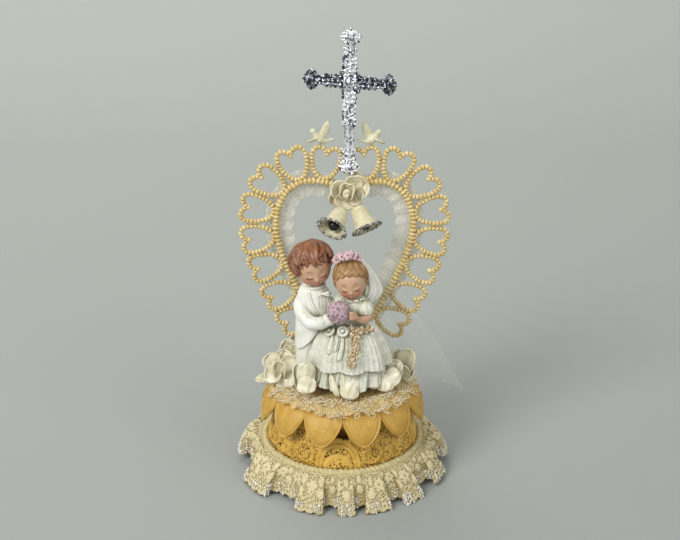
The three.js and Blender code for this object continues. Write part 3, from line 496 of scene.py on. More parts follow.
header_thread = surface("header_thread", (0.56, 0.47, 0.22), (0.73, 0.64, 0.36), 0.8, 1000, 0.7, 3500, 0.0003,
                        (0.36, 0.26, 0.09), 0.003)
satin = surface("white_satin", (0.72, 0.67, 0.47), (0.88, 0.84, 0.66), 0.45, 130, 0.3, 1500, 0.0002,
                (0.50, 0.45, 0.29), 0.003)
cream_petal = surface("cream_petal", (0.64, 0.58, 0.38), (0.80, 0.75, 0.56), 0.45, 260, 0.2, 1500, 0.0001,
                      (0.48, 0.40, 0.22), 0.003)
bisque = surface("white_bisque", (0.80, 0.80, 0.70), (0.92, 0.92, 0.85), 0.36, 160, 0.2, 1500, 0.0002,
                 (0.36, 0.34, 0.22), 0.003)
gown_bisque = surface("gown_bisque", (0.70, 0.70, 0.57), (0.86, 0.86, 0.76), 0.36, 330, 1.0, 900, 0.0006,
                      (0.28, 0.28, 0.16), 0.005)
auburn = surface("auburn_hair", (0.18, 0.068, 0.032), (0.33, 0.135, 0.06), 0.36, 300, 0.4, 1400, 0.0002,
                 (0.06, 0.012, 0.004), 0.0016)
golden = surface("golden_hair", (0.27, 0.14, 0.05), (0.44, 0.25, 0.10), 0.36, 300, 0.4, 1400, 0.0002,
                 (0.10, 0.035, 0.01), 0.0016)
pink = surface("pink_petal", (0.58, 0.38, 0.40), (0.73, 0.53, 0.54), 0.5, 500, 0.2, 1800, 0.0001,
               (0.34, 0.14, 0.18), 0.0015)
mauve = surface("mauve_petal", (0.40, 0.275, 0.31), (0.57, 0.43, 0.46), 0.5, 500, 0.2, 1800, 0.0001,
                (0.22, 0.08, 0.13), 0.002)
dark_dot = surface("dark_centre", (0.14, 0.03, 0.06), (0.22, 0.06, 0.10), 0.4, 600, 0.1)
brown_line = surface("brown_line", (0.07, 0.03, 0.02), (0.11, 0.05, 0.035), 0.5, 600, 0.1)
brow_line = surface("brow_line", (0.36, 0.19, 0.12), (0.46, 0.25, 0.16), 0.5, 600, 0.1)
lip_red = surface("lip_red", (0.38, 0.13, 0.11), (0.46, 0.18, 0.15), 0.4, 600, 0.1)
flocked = surface("cream_flock", (0.62, 0.56, 0.33), (0.78, 0.73, 0.50), 0.95, 500, 0.9, 3000, 0.0003,
                  Sheen_Weight=0.4)
black_gloss = surface("black_bead", (0.004, 0.004, 0.004), (0.012, 0.012, 0.012), 0.25, 500, 0.1)
# Glitter flakes coloured near white, so that each shows as a painted glint.
silver_flake_painted_glint = surface("silver_glitter", (0.90, 0.87, 0.77), (1.0, 0.99, 0.92), 0.2, 3000, 0)
black_flake = surface("black_glitter", (0.02, 0.02, 0.02), (0.30, 0.30, 0.28), 0.16, 3000, 0, Metallic=0.5)
# Chrome with painted reflections: noise patches from near black to near white stand in for the room it mirrors.
chrome = surface("chrome", (0.10, 0.10, 0.13), (0.97, 0.97, 1.0), 0.18, 620, 0.5, 1400, 0.0002,
                 spread=(0.40, 0.49), Metallic=0.7)
# A darker copy of the chrome for the cross's arms: painted dark reflection of the room.
chrome_painted_dark_reflection = surface("chrome_painted_dark_reflection", (0.06, 0.06, 0.08), (0.62, 0.63, 0.68), 0.14, 620, 0.5, 1400, 0.0002,
                      spread=(0.46, 0.62), Metallic=1.0)
copper = surface("copper_glitter", (0.56, 0.38, 0.18), (0.92, 0.80, 0.56), 0.3, 1500, 0.5, 3000, 0.0003,
                 (0.22, 0.1, 0.03), 0.001, Metallic=0.2)
gold_flake = surface("gold_flake", (0.86, 0.74, 0.48), (1.0, 0.96, 0.80), 0.2, 3000, 0)
copper_flake = surface("copper_flake", (0.72, 0.42, 0.20), (0.95, 0.72, 0.45), 0.2, 3000, 0, Metallic=0.3)
wire = surface("wire", (0.42, 0.38, 0.30), (0.56, 0.52, 0.44), 0.35, 600, 0.1, Metallic=0.9)
tulle_thread = surface("tulle_thread", (0.66, 0.59, 0.40), (0.88, 0.82, 0.63), 0.85, 900, 0.6, 3500, 0.0003)
pale_thread = net_material("pale_lace", (0.84, 0.83, 0.72), (0.3, 0.85), 1400)
ground_net = net_material("lace_ground", (0.72, 0.60, 0.33), (0.75, 1.0), 900)
tulle_net = net_material("tan_tulle", (0.80, 0.62, 0.28), (0.25, 0.8), 900)
veil_net = net_material("veil_tulle", (0.72, 0.71, 0.62), (0.05, 0.24), 160)


def flakes(form, places, size, rng, slot=0):
    """Small flat squares of glitter, each at its own tilt."""
    square = np.array([(-1, -1, 0), (1, -1, 0), (1, 1, 0), (-1, 1, 0)]) * size / 2
    for place in places:
        form.add(square @ turn_of(*(rng.random(3) * TAU)).T + place, [(0, 1, 2, 3)], slot)


# Open-work: irregular cells on a flat patch, told by the strand between two of them

class Cells:
    def __init__(self, width, height, pitch, seed):
        rng = np.random.default_rng(seed)
        self.width = width
        columns = max(int(width / pitch), 1)
        pitch_x = width / columns
        seeds = [((i + (k % 2) / 2) * pitch_x, (k - 1) * pitch * 0.866)
                 for k in range(int(height / pitch / 0.866) + 3) for i in range(columns)]
        seeds = np.array(seeds) + rng.uniform(-0.3, 0.3, (len(seeds), 2)) * pitch
        self.chance = np.tile(rng.random(len(seeds)), 3)
        self.tree = kdtree.KDTree(3 * len(seeds))
        for i, (x, y) in enumerate(np.concatenate([seeds, seeds + (width, 0), seeds - (width, 0)])):
            self.tree.insert((x, y, 0), i)
        self.tree.balance()

    def at(self, x, y):
        """How far a place is from its cell's edge, and its cell's own chance."""
        gaps, chances = np.zeros(x.shape), np.zeros(x.shape)
        flat_x, flat_y = (x % self.width).ravel(), y.ravel()
        for i in range(flat_x.size):
            near = self.tree.find_n((flat_x[i], flat_y[i], 0), 2)
            gaps.flat[i] = near[1][2] - near[0][2]
            chances.flat[i] = self.chance[near[0][1]]
        return gaps, chances


def sieve(form, points, faces, holes, uv=None, slot=0):
    """Adds a grid without its hole faces and without points that no face uses."""
    kept = [face for face, hole in zip(faces, np.ravel(holes)) if not hole]
    used = np.unique(np.array(kept))
    renamed = np.zeros(len(points), int)
    renamed[used] = np.arange(len(used))
    kept = [tuple(renamed[i] for i in face) for face in kept]
    return form.add(points[used], kept, slot, None if uv is None else uv[used])


# Base: moulded shell with ribbed arches and filigree, its four quarters alike

PATTERN_TURN = math.radians(-3.5)
MEDALLION, MEDALLION_OVAL = (10.6, 13.0, 19.5), (6.6, 7.4, 17.0)    # half width, height, foot
FILIGREE = (70, 44)                                                 # flat size of the open-work's cells
SCROLLS = [(17.5, 24.5, 4.6, 0.45), (22.5, 29, 3.0, 0.4), (13.8, 31.5, 2.6, 0.4)]    # across, up, reach, line
ARCH_HALF, ARCH_RISE, ARCH_FOOT = 5.2, 6.2, 33.25


def skirt_radius(h):
    fall = np.cos(np.clip(np.asarray(h, float) / SKIRT_HEIGHT, 0, 1) * math.pi / 2)
    return SKIRT_TOP + (SKIRT_FOOT - SKIRT_TOP) * np.clip(fall, 0, 1) ** 1.56


def in_quarter(angle):
    return (angle - FRONT - PATTERN_TURN + math.pi / 4) % (math.pi / 2) - math.pi / 4


def arch_distance(s, h, half, height, foot):
    """Signed distance, negative inside, to an arch that stands on its foot."""
    return (np.hypot(s / half, np.maximum(h - foot, 0) / height) - 1) * min(half, height)


def centres(grid):
    closed = np.concatenate([grid, grid[:, :1]], 1)
    return (closed[:-1, :-1] + closed[1:, 1:]) / 2


def base_shell():
    columns = 660
    heights = np.concatenate([np.linspace(0, 13, 8)[:-1], np.linspace(13, 40, 66),
                              np.linspace(40, SKIRT_HEIGHT, 7)[1:]])
    quarter = in_quarter(around(columns))
    h, q = np.meshgrid(heights, quarter, indexing="ij")
    s = q * skirt_radius(h)
    cells = Cells(*FILIGREE, 1.4, 3)
    gap, _ = cells.at(s + FILIGREE[0] / 2, h)
    outer, oval = arch_distance(s, h, *MEDALLION), arch_distance(s, h, *MEDALLION_OVAL)
    ribs = hump(outer, 0.5) + 0.8 * hump(outer + 1.7, 0.42) + 0.5 * hump(oval, 0.5)
    ribs += 0.35 * smoothstep(0.5, -1.5, oval)
    span = np.abs(s)
    edge = np.hypot((span - 31) / 8.0, (h - 26) / 11) * 8 - 8
    panel = smoothstep(1.5, -1.5, edge)
    net = smoothstep(0.4, 1.2, outer) * (1 - panel) * smoothstep(14, 15.5, h) * smoothstep(36, 34, h)
    scroll = sum(hump(np.hypot(span - x, h - z) - reach, line) for x, z, reach, line in SCROLLS)
    lift = (0.9 * ribs + 0.35 * smoothstep(0.75, 0.1, gap) * net - panel + 0.5 * hump(edge - 0.8, 0.5)
            + 0.6 * np.clip(scroll, 0, 1) * net) * smoothstep(12, 15, h) * smoothstep(41, 38, h)
    points = polar(skirt_radius(h) + lift, around(columns), h).reshape(-1, 3)

    h = between(heights)[:, None] + 0 * quarter
    s = (quarter + math.pi / columns) * skirt_radius(h)
    gap, chance = cells.at(s + FILIGREE[0] / 2, h)
    outer, oval = arch_distance(s, h, *MEDALLION), arch_distance(s, h, *MEDALLION_OVAL)
    holes = (centres(net) > 0.6) & (gap > 0.4) & (chance > 0.15) & (centres(scroll) < 0.5)
    holes |= (outer < -2.4) & (oval > 0.9) & (gap > 0.45) & (chance > 0.4) & (h > 20)
    holes |= (oval < -1.2) & (gap > 0.5) & (chance > 0.62)
    holes |= np.hypot(np.abs(s) - 31.5, h - 28) < 0.8
    gap, chance = Cells(*FILIGREE, 1.25, 9).at(s + FILIGREE[0] / 2, h)
    holes |= (centres(panel) > 0.6) & (gap > 0.5) & (chance > 0.45)
    width = ARCH_HALF * np.sqrt(np.clip(1 - ((h - ARCH_FOOT) / ARCH_RISE) ** 2, 0, 1))
    holes |= (np.abs(s) < width) & (h > ARCH_FOOT) & (h < ARCH_FOOT + ARCH_RISE)
    shell = sieve(Form(), points, lattice(len(heights), columns, False, True), holes)
    finished(shell, "base_shell", [yellow], ["base_skirt"], thickness=-1.5)

    # Behind the filigree, an inner wall, open where a deeper lining shows behind each arch
    columns, levels = 240, np.linspace(3, SKIRT_HEIGHT - 0.5, 60)
    wall = lathe(np.stack([skirt_radius(levels) - 3.4, levels], -1), columns)
    level, s = between(levels)[:, None], in_quarter(around(columns) + math.pi / columns) * 30
    core = sieve(Form(), wall.all_points(), wall.faces, (np.abs(s) < 7.5) & (level > 31) & (level < 42))
    lining = np.linspace(26, SKIRT_HEIGHT - 0.5, 12)
    lathe(np.stack([skirt_radius(lining) - 7.5, lining], -1), 120, form=core)
    finished(core, "base_core", [yellow], ())
    foot = lathe([(40.7, 0.3), (40.7, 1.9), (40.4, 2.2), (36.5, 2.2), (36.2, 1.9), (36.2, 0.3),
                  (36.5, 0.0), (40.4, 0.0), (40.7, 0.3)], 160)
    finished(foot, "base_foot", [yellow], ())


base_shell()


# Petals: each a leaf with a raised rim; the first uv coordinate holds the way in from its edge

PETALS = 12
PETAL_ROOT, PETAL_REACH, PETAL_DROP = 30.6, 12.2, 17.0


def petal_canopy():
    form = Form()
    rows, columns = 62, 57
    t, share = np.meshgrid(np.linspace(0, 1, rows), np.linspace(-1, 1, columns), indexing="ij")
    bend = t * math.pi / 2
    radius, height = PETAL_ROOT + PETAL_REACH * np.sin(bend), CANOPY_TOP - 1 - PETAL_DROP * (1 - np.cos(bend))
    below = np.clip((t - 0.34) / 0.66, 0, 1)
    widest = 10.3 * np.clip(1 - below ** 2.3, 0.0001, 1) ** 0.76
    half = np.minimum(widest / radius, math.pi / PETALS - 0.0045)
    inward = (1 - np.abs(share)) * half * radius
    inward = np.minimum(inward, (1 - t) * 21 * (0.6 + 0.4 * (1 - np.abs(share))))
    lift = 0.75 + 0.5 * hump(inward, 0.65) - 0.25 * hump(inward - 1.2, 0.4) + 0.35 * (1 - share ** 2)
    lift += 0.05 * np.cos((inward - 2.9) * TAU / 1.75) * smoothstep(1.6, 2.4, inward)
    for i in range(PETALS):
        angle = FRONT + TAU * (i + 0.5) / PETALS + share * half
        points = polar(radius + np.sin(bend) * lift, angle, height + np.cos(bend) * lift)
        form.add(points, lattice(rows, columns), 0, np.stack([inward / 10, t], -1))
    finished(form, "petals", [petal_yellow], ["petal_canopy"], thickness=-1.2)
    plate = lathe([(0.01, 48.1), (32.0, 48.1), (32.6, 48.6), (32.6, 49.6), (32.0, 50.1), (0.01, 50.1)], 120)
    finished(plate, "plate", [petal_yellow], ())


petal_canopy()


# Lace round the base

HEADER_RADIUS = 41.3
HEM_SEEN = [(241, 448), (262, 485), (314, 511), (346, 516), (377, 509), (409, 497), (433, 478), (445, 455)]
HEM_RAISED = [0.95, 0.12, 0.0, 0.0, 0.0, 0.0, 0.35, 0.95]
HEM_LEVEL = 1.0
LACE_WIDTH, LACE_SOLID_SHARE = 20.0, 0.62
HEM_RADIUS, FOLD_DEPTH, LACE_SCALLOP, LACE_MOTIF, LACE_CELL = 56.6, 7.0, 4.6, 12.5, 1.45


def lace_header():
    """A corded band: a thick cord with knots worked over it."""
    count, sides = 900, 16
    a, b = np.meshgrid(around(count), around(sides), indexing="ij")
    radius = 2.1 + 0.22 * np.sin(a * 96 + 2 * b) + 0.14 * np.sin(a * 211 - 3 * b) * np.cos(a * 37)
    radius = radius + 0.16 * np.sin(a * 53 + 2 * b) * np.sin(a * 19 + 1)
    points = polar(HEADER_RADIUS + radius * np.cos(b), a, HEADER_HEIGHT + radius * np.sin(b))
    finished(Form().add(points, lattice(count, sides, True, True)), "lace_band", [header_thread],
             ["lace_header"])


lace_header()


def ground_angle(u, v):
    way = sight(u, v)
    place = CAMERA_PLACE + way * (HEM_LEVEL - CAMERA_PLACE[2]) / way[2]
    return math.atan2(place[1], place[0])


def fold_track():
    """The angles of the folds: those that are seen, and as many more as the rear takes."""
    crests = sorted((ground_angle(u, v) - math.pi / 2) % TAU - 1.5 * math.pi for u, v in HEM_SEEN)
    rear = crests[0] + TAU - crests[-1]
    extra = round(rear / math.radians(18))
    rng = np.random.default_rng(11)
    crests += [crests[-1] + rear / extra * (k + 0.12 * rng.uniform(-1, 1)) for k in range(1, extra)]
    return np.array(crests)


def lace_ruffle():
    crests = fold_track()
    folds, per_fold, rows = len(crests), 62, 44
    columns = folds * per_fold
    k = np.arange(columns) / per_fold
    middle = np.interp(k, np.arange(folds + 1), np.append(crests, crests[0] + TAU))
    phase = TAU * k
    rng = np.random.default_rng(5)
    whole = (k + 0.5).astype(int)

    def eased(values):
        """A value of each fold, passing smoothly to its neighbours'."""
        t = k + 0.5 - whole
        low = np.where(t < 0.5, values[(whole - 1) % folds], values[whole % folds])
        high = np.where(t < 0.5, values[whole % folds], values[(whole + 1) % folds])
        return mix(low, high, smoothstep(0, 1, np.where(t < 0.5, t + 0.5, t - 0.5)))

    depth, swing, lean, raised = (rng.uniform(low, high, folds)
                                  for low, high in ((0.75, 1.2), (0.7, 1.5), (-1.6, 1.6), (0.2, 0.8)))
    raised[:len(HEM_SEEN)] = HEM_RAISED
    depth, swing, lean, raised = eased(depth), eased(swing), eased(lean), eased(raised)
    flat = np.tanh(2.4 * (((1 - np.cos(phase)) / 2) ** 1.9 - 0.5)) / np.tanh(1.2) / 2 + 0.5

    def surface_at(w):
        """One row of the cloth at a share of its width, the hem at 1."""
        flow = w ** 0.8
        radius = mix(HEADER_RADIUS + 1.2, HEM_RADIUS, w ** (0.82 - 0.27 * raised)) - FOLD_DEPTH * depth * flow * flat
        slide = (2.8 * swing * np.sin(2 * phase) + lean * np.sin(phase)) * flow
        slide += 0.5 * np.sin(9 * middle + 3 * phase) * flow
        height = mix(16.6, 0.75 + 4.6 * raised, w ** 1.55) + 1.6 * w * flat + 3.0 * raised * np.sin(math.pi * w)
        height += 0.35 * np.sin(5 * phase + 3 * middle) * w * (1 - w) * 1.6
        return polar(radius, middle + slide / radius, height)

    hem = surface_at(0.8)
    steps = np.linalg.norm(np.roll(hem, -1, 0) - hem, axis=1)
    cut, s = steps.sum(), np.cumsum(steps) - steps
    scallops, motifs = round(cut / LACE_SCALLOP), round(cut / LACE_MOTIF)
    reach = 1 + 0.055 * (np.abs(np.sin(math.pi * s / cut * scallops)) - 0.6)
    share = np.linspace(0, 1, rows)
    points = np.array([surface_at(w) for w in share])
    pull = smoothstep(0.7, 1, share)[:, None] * (reach - 1) * 39.6
    points += (points[-1] - points[-2]) * pull[..., None]
    width = LACE_WIDTH * share[:, None] * reach
    flat_s = s + 0 * width
    cells = Cells(cut, LACE_WIDTH + 2, LACE_CELL, 17)
    gap, _ = cells.at(flat_s, width)
    period = cut / motifs

    def motif(s_at, y_at):
        """Signed distance to the roses and leaves of the pattern, and the way from a rose's middle."""
        x = (s_at + period / 2) % period - period / 2
        y, x2 = y_at - 8.2, np.abs(x) - period / 2
        rose = np.hypot(x, y) - 3.3 * (1 + 0.25 * np.cos(6 * np.arctan2(y, x)))
        leaves = [np.hypot(x2 * 0.9, (y_at - 5.2) * 0.55) - 1.5, np.hypot(x2 * 0.8, (y_at - 12.0) * 0.8) - 1.7]
        return np.minimum(rose, np.minimum(*leaves)), np.hypot(x, y)

    shape, core = motif(flat_s, width)
    hem_band = smoothstep(LACE_WIDTH - 3.6, LACE_WIDTH - 2.8, width / reach)
    puff = (0.32 * smoothstep(0.3, -0.6, shape) - 0.3 * hump(core, 0.8)
            + 0.25 * hem_band * np.abs(np.sin(flat_s * math.pi / 1.2)) + 0.12 * smoothstep(0.5, 0.1, gap))
    grid, faces = points.reshape(-1, 3), lattice(rows, columns, False, True)
    normal = normals_of(grid, faces)
    outward = np.tile(polar(1.0, middle, 1.0), (rows, 1))
    if np.sum(normal * outward, 1).mean() < 0:
        normal = -normal
    grid = grid + normal * puff.reshape(-1, 1)
    mid_s, mid_w = (s + 0.5 * np.mean(steps)) + 0 * width[:-1], between(width)
    gap, chance = cells.at(mid_s, mid_w)
    shape, core = motif(mid_s, mid_w)
    band = mid_w / reach
    inside = (band > 1.3) & (band < LACE_WIDTH - 3.0)
    holes = (gap > 0.42) & (shape > 0.25) & inside & (chance > 0.1)
    holes |= (np.abs(shape - 0.6) < 0.3) & (gap > 0.25) & inside
    holes |= core < 0.5
    holes |= (np.abs(band - (LACE_WIDTH - 1.7)) < 0.45) & (np.abs(np.sin(mid_s * math.pi / 2.3)) > 0.8)
    form = sieve(Form(), grid, faces, holes, np.stack([flat_s, width], -1).reshape(-1, 2) / 100)
    lace = finished(form, "lace_skirt", [cream_thread], ["lace_ruffle"], thickness=0.32)
    ground = finished(Form().add(grid - 0.34 * normal, faces), "lace_ground", [ground_net], ())
    glitter, count, flake = Form(), 9000, 0.7
    rng = np.random.default_rng(23)
    picks = rng.choice(np.arange(int(rows * 0.78), rows), count) * columns + rng.integers(0, columns, count)
    picks = picks[np.sin(s[picks % columns] * TAU / 9.0) > -0.1]
    flakes(glitter, grid[picks] + normal[picks] * rng.uniform(0.25, 0.6, (len(picks), 1)), flake, rng)
    shine = finished(glitter, "lace_glitter", [silver_flake_painted_glint], (), smooth=False)


lace_ruffle()


# Tulle on the plate, with curled threads and glitter at its edge

def canopy_drop(radius):
    """How far the petals have fallen at a radius."""
    return PETAL_DROP * (1 - np.cos(np.arcsin(np.clip((radius - PETAL_ROOT) / PETAL_REACH, 0, 0.92))))


def tulle_ruffle():
    rng = np.random.default_rng(31)
    columns, rows, curls, inner_edge, outer_edge = 720, 34, 190, 17, 38.2
    angle = around(columns)
    bumps = [(7, 0.4), (11, 2.1), (17, 0.9), (26, 4.0), (41, 1.3)]
    wave = sum(np.sin(n * angle + p) / (1 + 0.04 * n) for n, p in bumps) / len(bumps)
    loops = np.abs(np.sin(14.5 * angle + 0.9 * np.sin(3 * angle + 0.5)))
    crumple = rng.normal(0, 1, (rows // 2 + 1, columns // 4))
    points = np.zeros((rows, columns, 3))
    for i, w in enumerate(np.linspace(0, 1, rows)):
        radius = mix(inner_edge, outer_edge + 1.1 * wave + 1.6 * loops, w)
        drop = canopy_drop(radius)
        sample = np.interp(angle, np.linspace(0, TAU, columns // 4), crumple[i // 2])
        height = 52.0 - drop + 0.55 * sample * smoothstep(0.1, 0.5, w)
        height += smoothstep(0.5, 1, w) * (1.5 + 1.2 * loops + 0.7 * wave)
        points[i] = polar(radius, angle, np.maximum(height, 51.9 - drop))
    form = Form().add(points, lattice(rows, columns, False, True))
    cloth = finished(form, "tulle_ring", [tulle_net], ["tulle_ruffle"])
    threads = Form()
    for k in range(curls):
        a = TAU * (k + rng.uniform(-0.5, 0.5)) / curls
        r = rng.uniform(31.0, 38.6)
        centre = polar(r, a, 52.1 - canopy_drop(r) + rng.uniform(0.4, 1.8))
        size = rng.uniform(1.3, 2.8)
        turn = turn_of(rng.uniform(-0.7, 0.7), rng.uniform(-0.7, 0.7), a)
        phase = np.linspace(0, TAU * rng.uniform(0.8, 1.6), 15)
        loop = polar(size, phase, 0.35 * np.sin(2 * phase), 0.3 * phase, depth=size * 0.75)
        tube(threads, loop @ turn.T + centre, rng.uniform(0.14, 0.24), 5)
    knots = finished(threads, "tulle_threads", [tulle_thread], ())
    glitter = Form()
    picks = rng.integers(rows // 2, rows, 1500), rng.integers(0, columns, 1500)
    flakes(glitter, points[picks] + (0, 0, 0.4), 0.45, rng)
    shine = finished(glitter, "tulle_glitter", [silver_flake_painted_glint], (), smooth=False)


tulle_ruffle()


# Heart frame of beads; each outline is told in shares of its half width and height

RING = dict(cleft=0.94, lobe=0.51, side=0.755, leave=(0.1, 0.985), arrive=(0.25, 1), shoulder=(0.78, 1),
            turn_in=(1, 0.9), flank=(1, 0.6), foot=(0.62, 0.3))
SMALL = dict(cleft=0.8, lobe=0.55, side=0.72, leave=(0.1, 0.93), arrive=(0.3, 1), shoulder=(0.85, 1),
             turn_in=(1, 0.9), flank=(0.97, 0.36), foot=(0.54, 0))
SMALL_WIDTH, SMALL_HEIGHT, SMALL_PITCH, SMALL_HEARTS = 15.0, 16.9, 16.9, 8
ROOT_REACH, FIRST_SEAT, RING_BEADS, SMALL_BEADS = 1.47, 9.8, 124, 28


def heart_outline(half, height, shares, count):
    s = dict(shares, top=(0, shares["cleft"]), lobe=(shares["lobe"], 1), side=(1, shares["side"]), tip=(0, 0))
    spans = [("top", "leave", "arrive", "lobe"), ("lobe", "shoulder", "turn_in", "side"),
             ("side", "flank", "foot", "tip")]
    right = [[np.array(s[name]) * (half, height) for name in span] for span in spans]
    left = [[p * (-1, 1) for p in reversed(span)] for span in reversed(right)]
    t = np.linspace(0, 1, 120, endpoint=False)[:, None]
    fine = [(1 - t) ** 3 * a + 3 * (1 - t) ** 2 * t * b + 3 * (1 - t) * t * t * c + t ** 3 * d
            for a, b, c, d in right + left]
    return spaced(np.concatenate(fine + [right[0][0][None]]), count, True)


def heart_place(points):
    """From the heart's own upright plane (x, y back, z up) to the base's axis."""
    p = np.asarray(points, float)
    c, s = math.cos(HEART_LEAN), math.sin(HEART_LEAN)
    return np.stack([p[..., 0] * c + p[..., 2] * s, p[..., 1] + HEART_DEPTH,
                     p[..., 2] * c - p[..., 0] * s + CANOPY_TOP], -1)


def on_heart(flat):
    return heart_place(np.insert(flat, 1, 0, -1) + (0, 0, HEART_FOOT))


def heart_seats():
    """Where the small hearts of one side are rooted on the ring, and the way out from it."""
    samples = 400
    points = heart_outline(HEART_HALF_WIDTH, HEART_HEIGHT, RING, samples)
    seats, wanted, walked, last = [], FIRST_SEAT, 0, None
    for i in range(1, samples // 2):
        along = unit(points[i + 1] - points[i - 1])
        out = np.array([-along[1], along[0]])
        outer = points[i] + out * (ROOT_REACH + SMALL_HEIGHT * 0.6)
        if outer[0] <= SMALL_WIDTH / 2:
            continue
        walked = outer[0] if last is None else walked + np.linalg.norm(outer - last)
        last = outer
        if walked >= wanted and len(seats) < SMALL_HEARTS:
            seats.append((points[i], out))
            wanted += SMALL_PITCH
    return seats


def small_heart(root, out, count):
    across = np.array([out[1], -out[0]])
    flat = heart_outline(SMALL_WIDTH / 2, SMALL_HEIGHT, SMALL, count)
    return root + out * (ROOT_REACH + flat[:, 1:2]) + across * flat[:, :1]


def beads(form, path, along_radius, across_radius, rng, cuts):
    """A closed string of beads, each a little out of line."""
    for i, place in enumerate(path):
        turn = aim(path[(i + 1) % len(path)] - path[i - 1])
        across = across_radius * (1 + rng.uniform(-0.06, 0.06))
        ball(form, place + rng.uniform(-0.06, 0.06, 3), (across, across, along_radius), cuts, turn)


def heart_frame():
    rng = np.random.default_rng(41)
    form = Form()
    ring = on_heart(heart_outline(HEART_HALF_WIDTH, HEART_HEIGHT, RING, RING_BEADS))
    beads(form, ring, 1.36, 2.0, rng, 4)
    tube(form, ring[::2], 1.35, 8, True, up=(0, 1, 0))
    for side in (1, -1):
        for root, out in heart_seats():
            strand = on_heart(small_heart(root, out, SMALL_BEADS) * (side, 1))
            beads(form, strand, 1.22, 1.42, rng, 3)
            tube(form, strand, 0.6, 6, True, up=(0, 1, 0))
    tube(form, heart_place([(0, 0, z) for z in np.linspace(0.6, HEART_FOOT, 8)]), 2.4, 20, up=(0, 1, 0))
    pad = [polar(9.0 * share, around(48), z, depth=4.0 * share)
           for z, share in ((0.3, 0.96), (0.6, 1.0), (2.1, 1.0), (2.5, 0.96))]
    form.add(heart_place(pad), lidded(4, 48))
    finished(form, "heart_beads", [cream_bead], ["heart_frame"])


heart_frame()


def heart_lace():
    columns, rows, samples, scallop, middle_row = 700, 30, 1400, 7.5, 12
    points = heart_outline(HEART_HALF_WIDTH, HEART_HEIGHT, RING, samples)
    share = np.linspace(-0.4, 0.4, columns)

    def at(values):
        values = values % samples
        low = values.astype(int) % samples
        return mix(points[low], points[(low + 1) % samples], (values - values.astype(int))[:, None])

    middle = at(share * samples)
    along = at(share * samples + 9) - at(share * samples - 9)
    along /= np.linalg.norm(along, axis=1)[:, None]
    out = np.stack([-along[:, 1], along[:, 0]], 1)
    travel = travelled(middle)
    cut = travel[-1]
    inner = -8.2 - 1.3 * np.abs(np.sin(math.pi * travel / scallop))
    outer = 5.9 * np.clip(np.abs(share) / 0.07, 0, 1) - 0.4
    w = np.linspace(0, 1, rows)[:, None]
    reach = mix(inner, outer, w)
    grid = on_heart(middle + out * reach[..., None])
    grid[..., 1] += 2.3 + 0.35 * np.sin(travel * TAU / 9.1) * (1 - w) + 0.15 * np.sin(travel * TAU / 3.3) * w
    mid_t = between(travel)[None] + 0 * reach[:-1, :-1]
    mid_r = (reach[:-1, :-1] + reach[1:, 1:]) / 2
    gap, _ = Cells(cut, 24, 1.2, 51).at(mid_t, mid_r + middle_row)
    x, y = (mid_t + scallop / 2) % scallop - scallop / 2, mid_r + 5.2
    rose = np.hypot(x, y) - 2.0 * (1 + 0.25 * np.cos(6 * np.arctan2(y, x)))
    holes = (gap > 0.42) & (rose > 0.2) & (mid_r - inner[:-1] > 0.7)
    holes |= np.hypot(x, y) < 0.4
    form = sieve(Form(), grid.reshape(-1, 3), lattice(rows, columns), holes,
                 np.stack([travel + 0 * reach, reach], -1).reshape(-1, 2) / 100)
    lace = finished(form, "heart_lace", [pale_thread], ["heart_lace_trim"], thickness=0.35)


heart_lace()


# Doves, each told in shares of its length: a path, how wide it is along it, and its cross-section

DOVE_LENGTH = 11.0
DOVE_LIMBS = [
    ([(-0.12, 0, 0.14), (0.08, 0, 0.24), (0.26, 0, 0.42), (0.38, -0.02, 0.58)], 12,
     [0, 0.3, 0.65, 1], [0.11, 0.2, 0.17, 0.12], 14, 1.0, None),
    ([(0.05, 0.06, 0.3), (-0.1, 0.08, 0.55), (-0.2, 0.1, 0.82), (-0.25, 0.11, 1.04)], 14,
     [0, 0.35, 0.8, 1], [0.14, 0.21, 0.17, 0.07], 12, 0.42, (0, 1, 0.2)),
    ([(0.18, -0.06, 0.3), (0.38, -0.1, 0.24), (0.56, -0.12, 0.17), (0.72, -0.1, 0.1)], 12,
     [0, 0.4, 0.8, 1], [0.12, 0.19, 0.14, 0.05], 12, 0.35, (0, 0.6, 1)),
    ([(-0.05, 0.03, 0.2), (-0.2, 0.08, 0.17), (-0.34, 0.12, 0.17), (-0.44, 0.14, 0.19)], 10,
     [0, 0.5, 1], [0.1, 0.15, 0.16], 12, 0.3, (0, 0.2, 1)),
    ([(0.5, -0.04, 0.62), (0.58, -0.05, 0.58)], 2, [0, 1], [0.045, 0.015], 8, 1.0, None),
    ([(0.05, 0, 0.16), (0.05, 0, 0.04)], 2, [0, 1], [0.07, 0.05], 10, 1.0, None)]


def dove(name, side):
    top = small_heart(*heart_seats()[0], 60)[:, 1].max()
    seat = np.array([side * 12.0, 0.0, HEART_FOOT + top + 1.35])
    form = Form()

    def at(place):
        return heart_place(seat + np.array(place) * (side, 1, 1) * DOVE_LENGTH)

    for stops, count, shares, widths, sides, squash, up in DOVE_LIMBS:
        path = curve([at(stop) for stop in stops], count)
        limb(form, path, taper(count, shares, widths) * DOVE_LENGTH, sides, squash, up)
    ball(form, at((0.42, -0.03, 0.63)), np.array([0.14, 0.13, 0.13]) * DOVE_LENGTH, 8)
    finished(fused(form, 0.28, 3), name + "_figure", [dove_ivory], [name])


dove("dove_left", -1)
dove("dove_right", 1)


# Cross: fluted bars with foliate ends, crossing and foot, in its own plane (x, y back, z up)

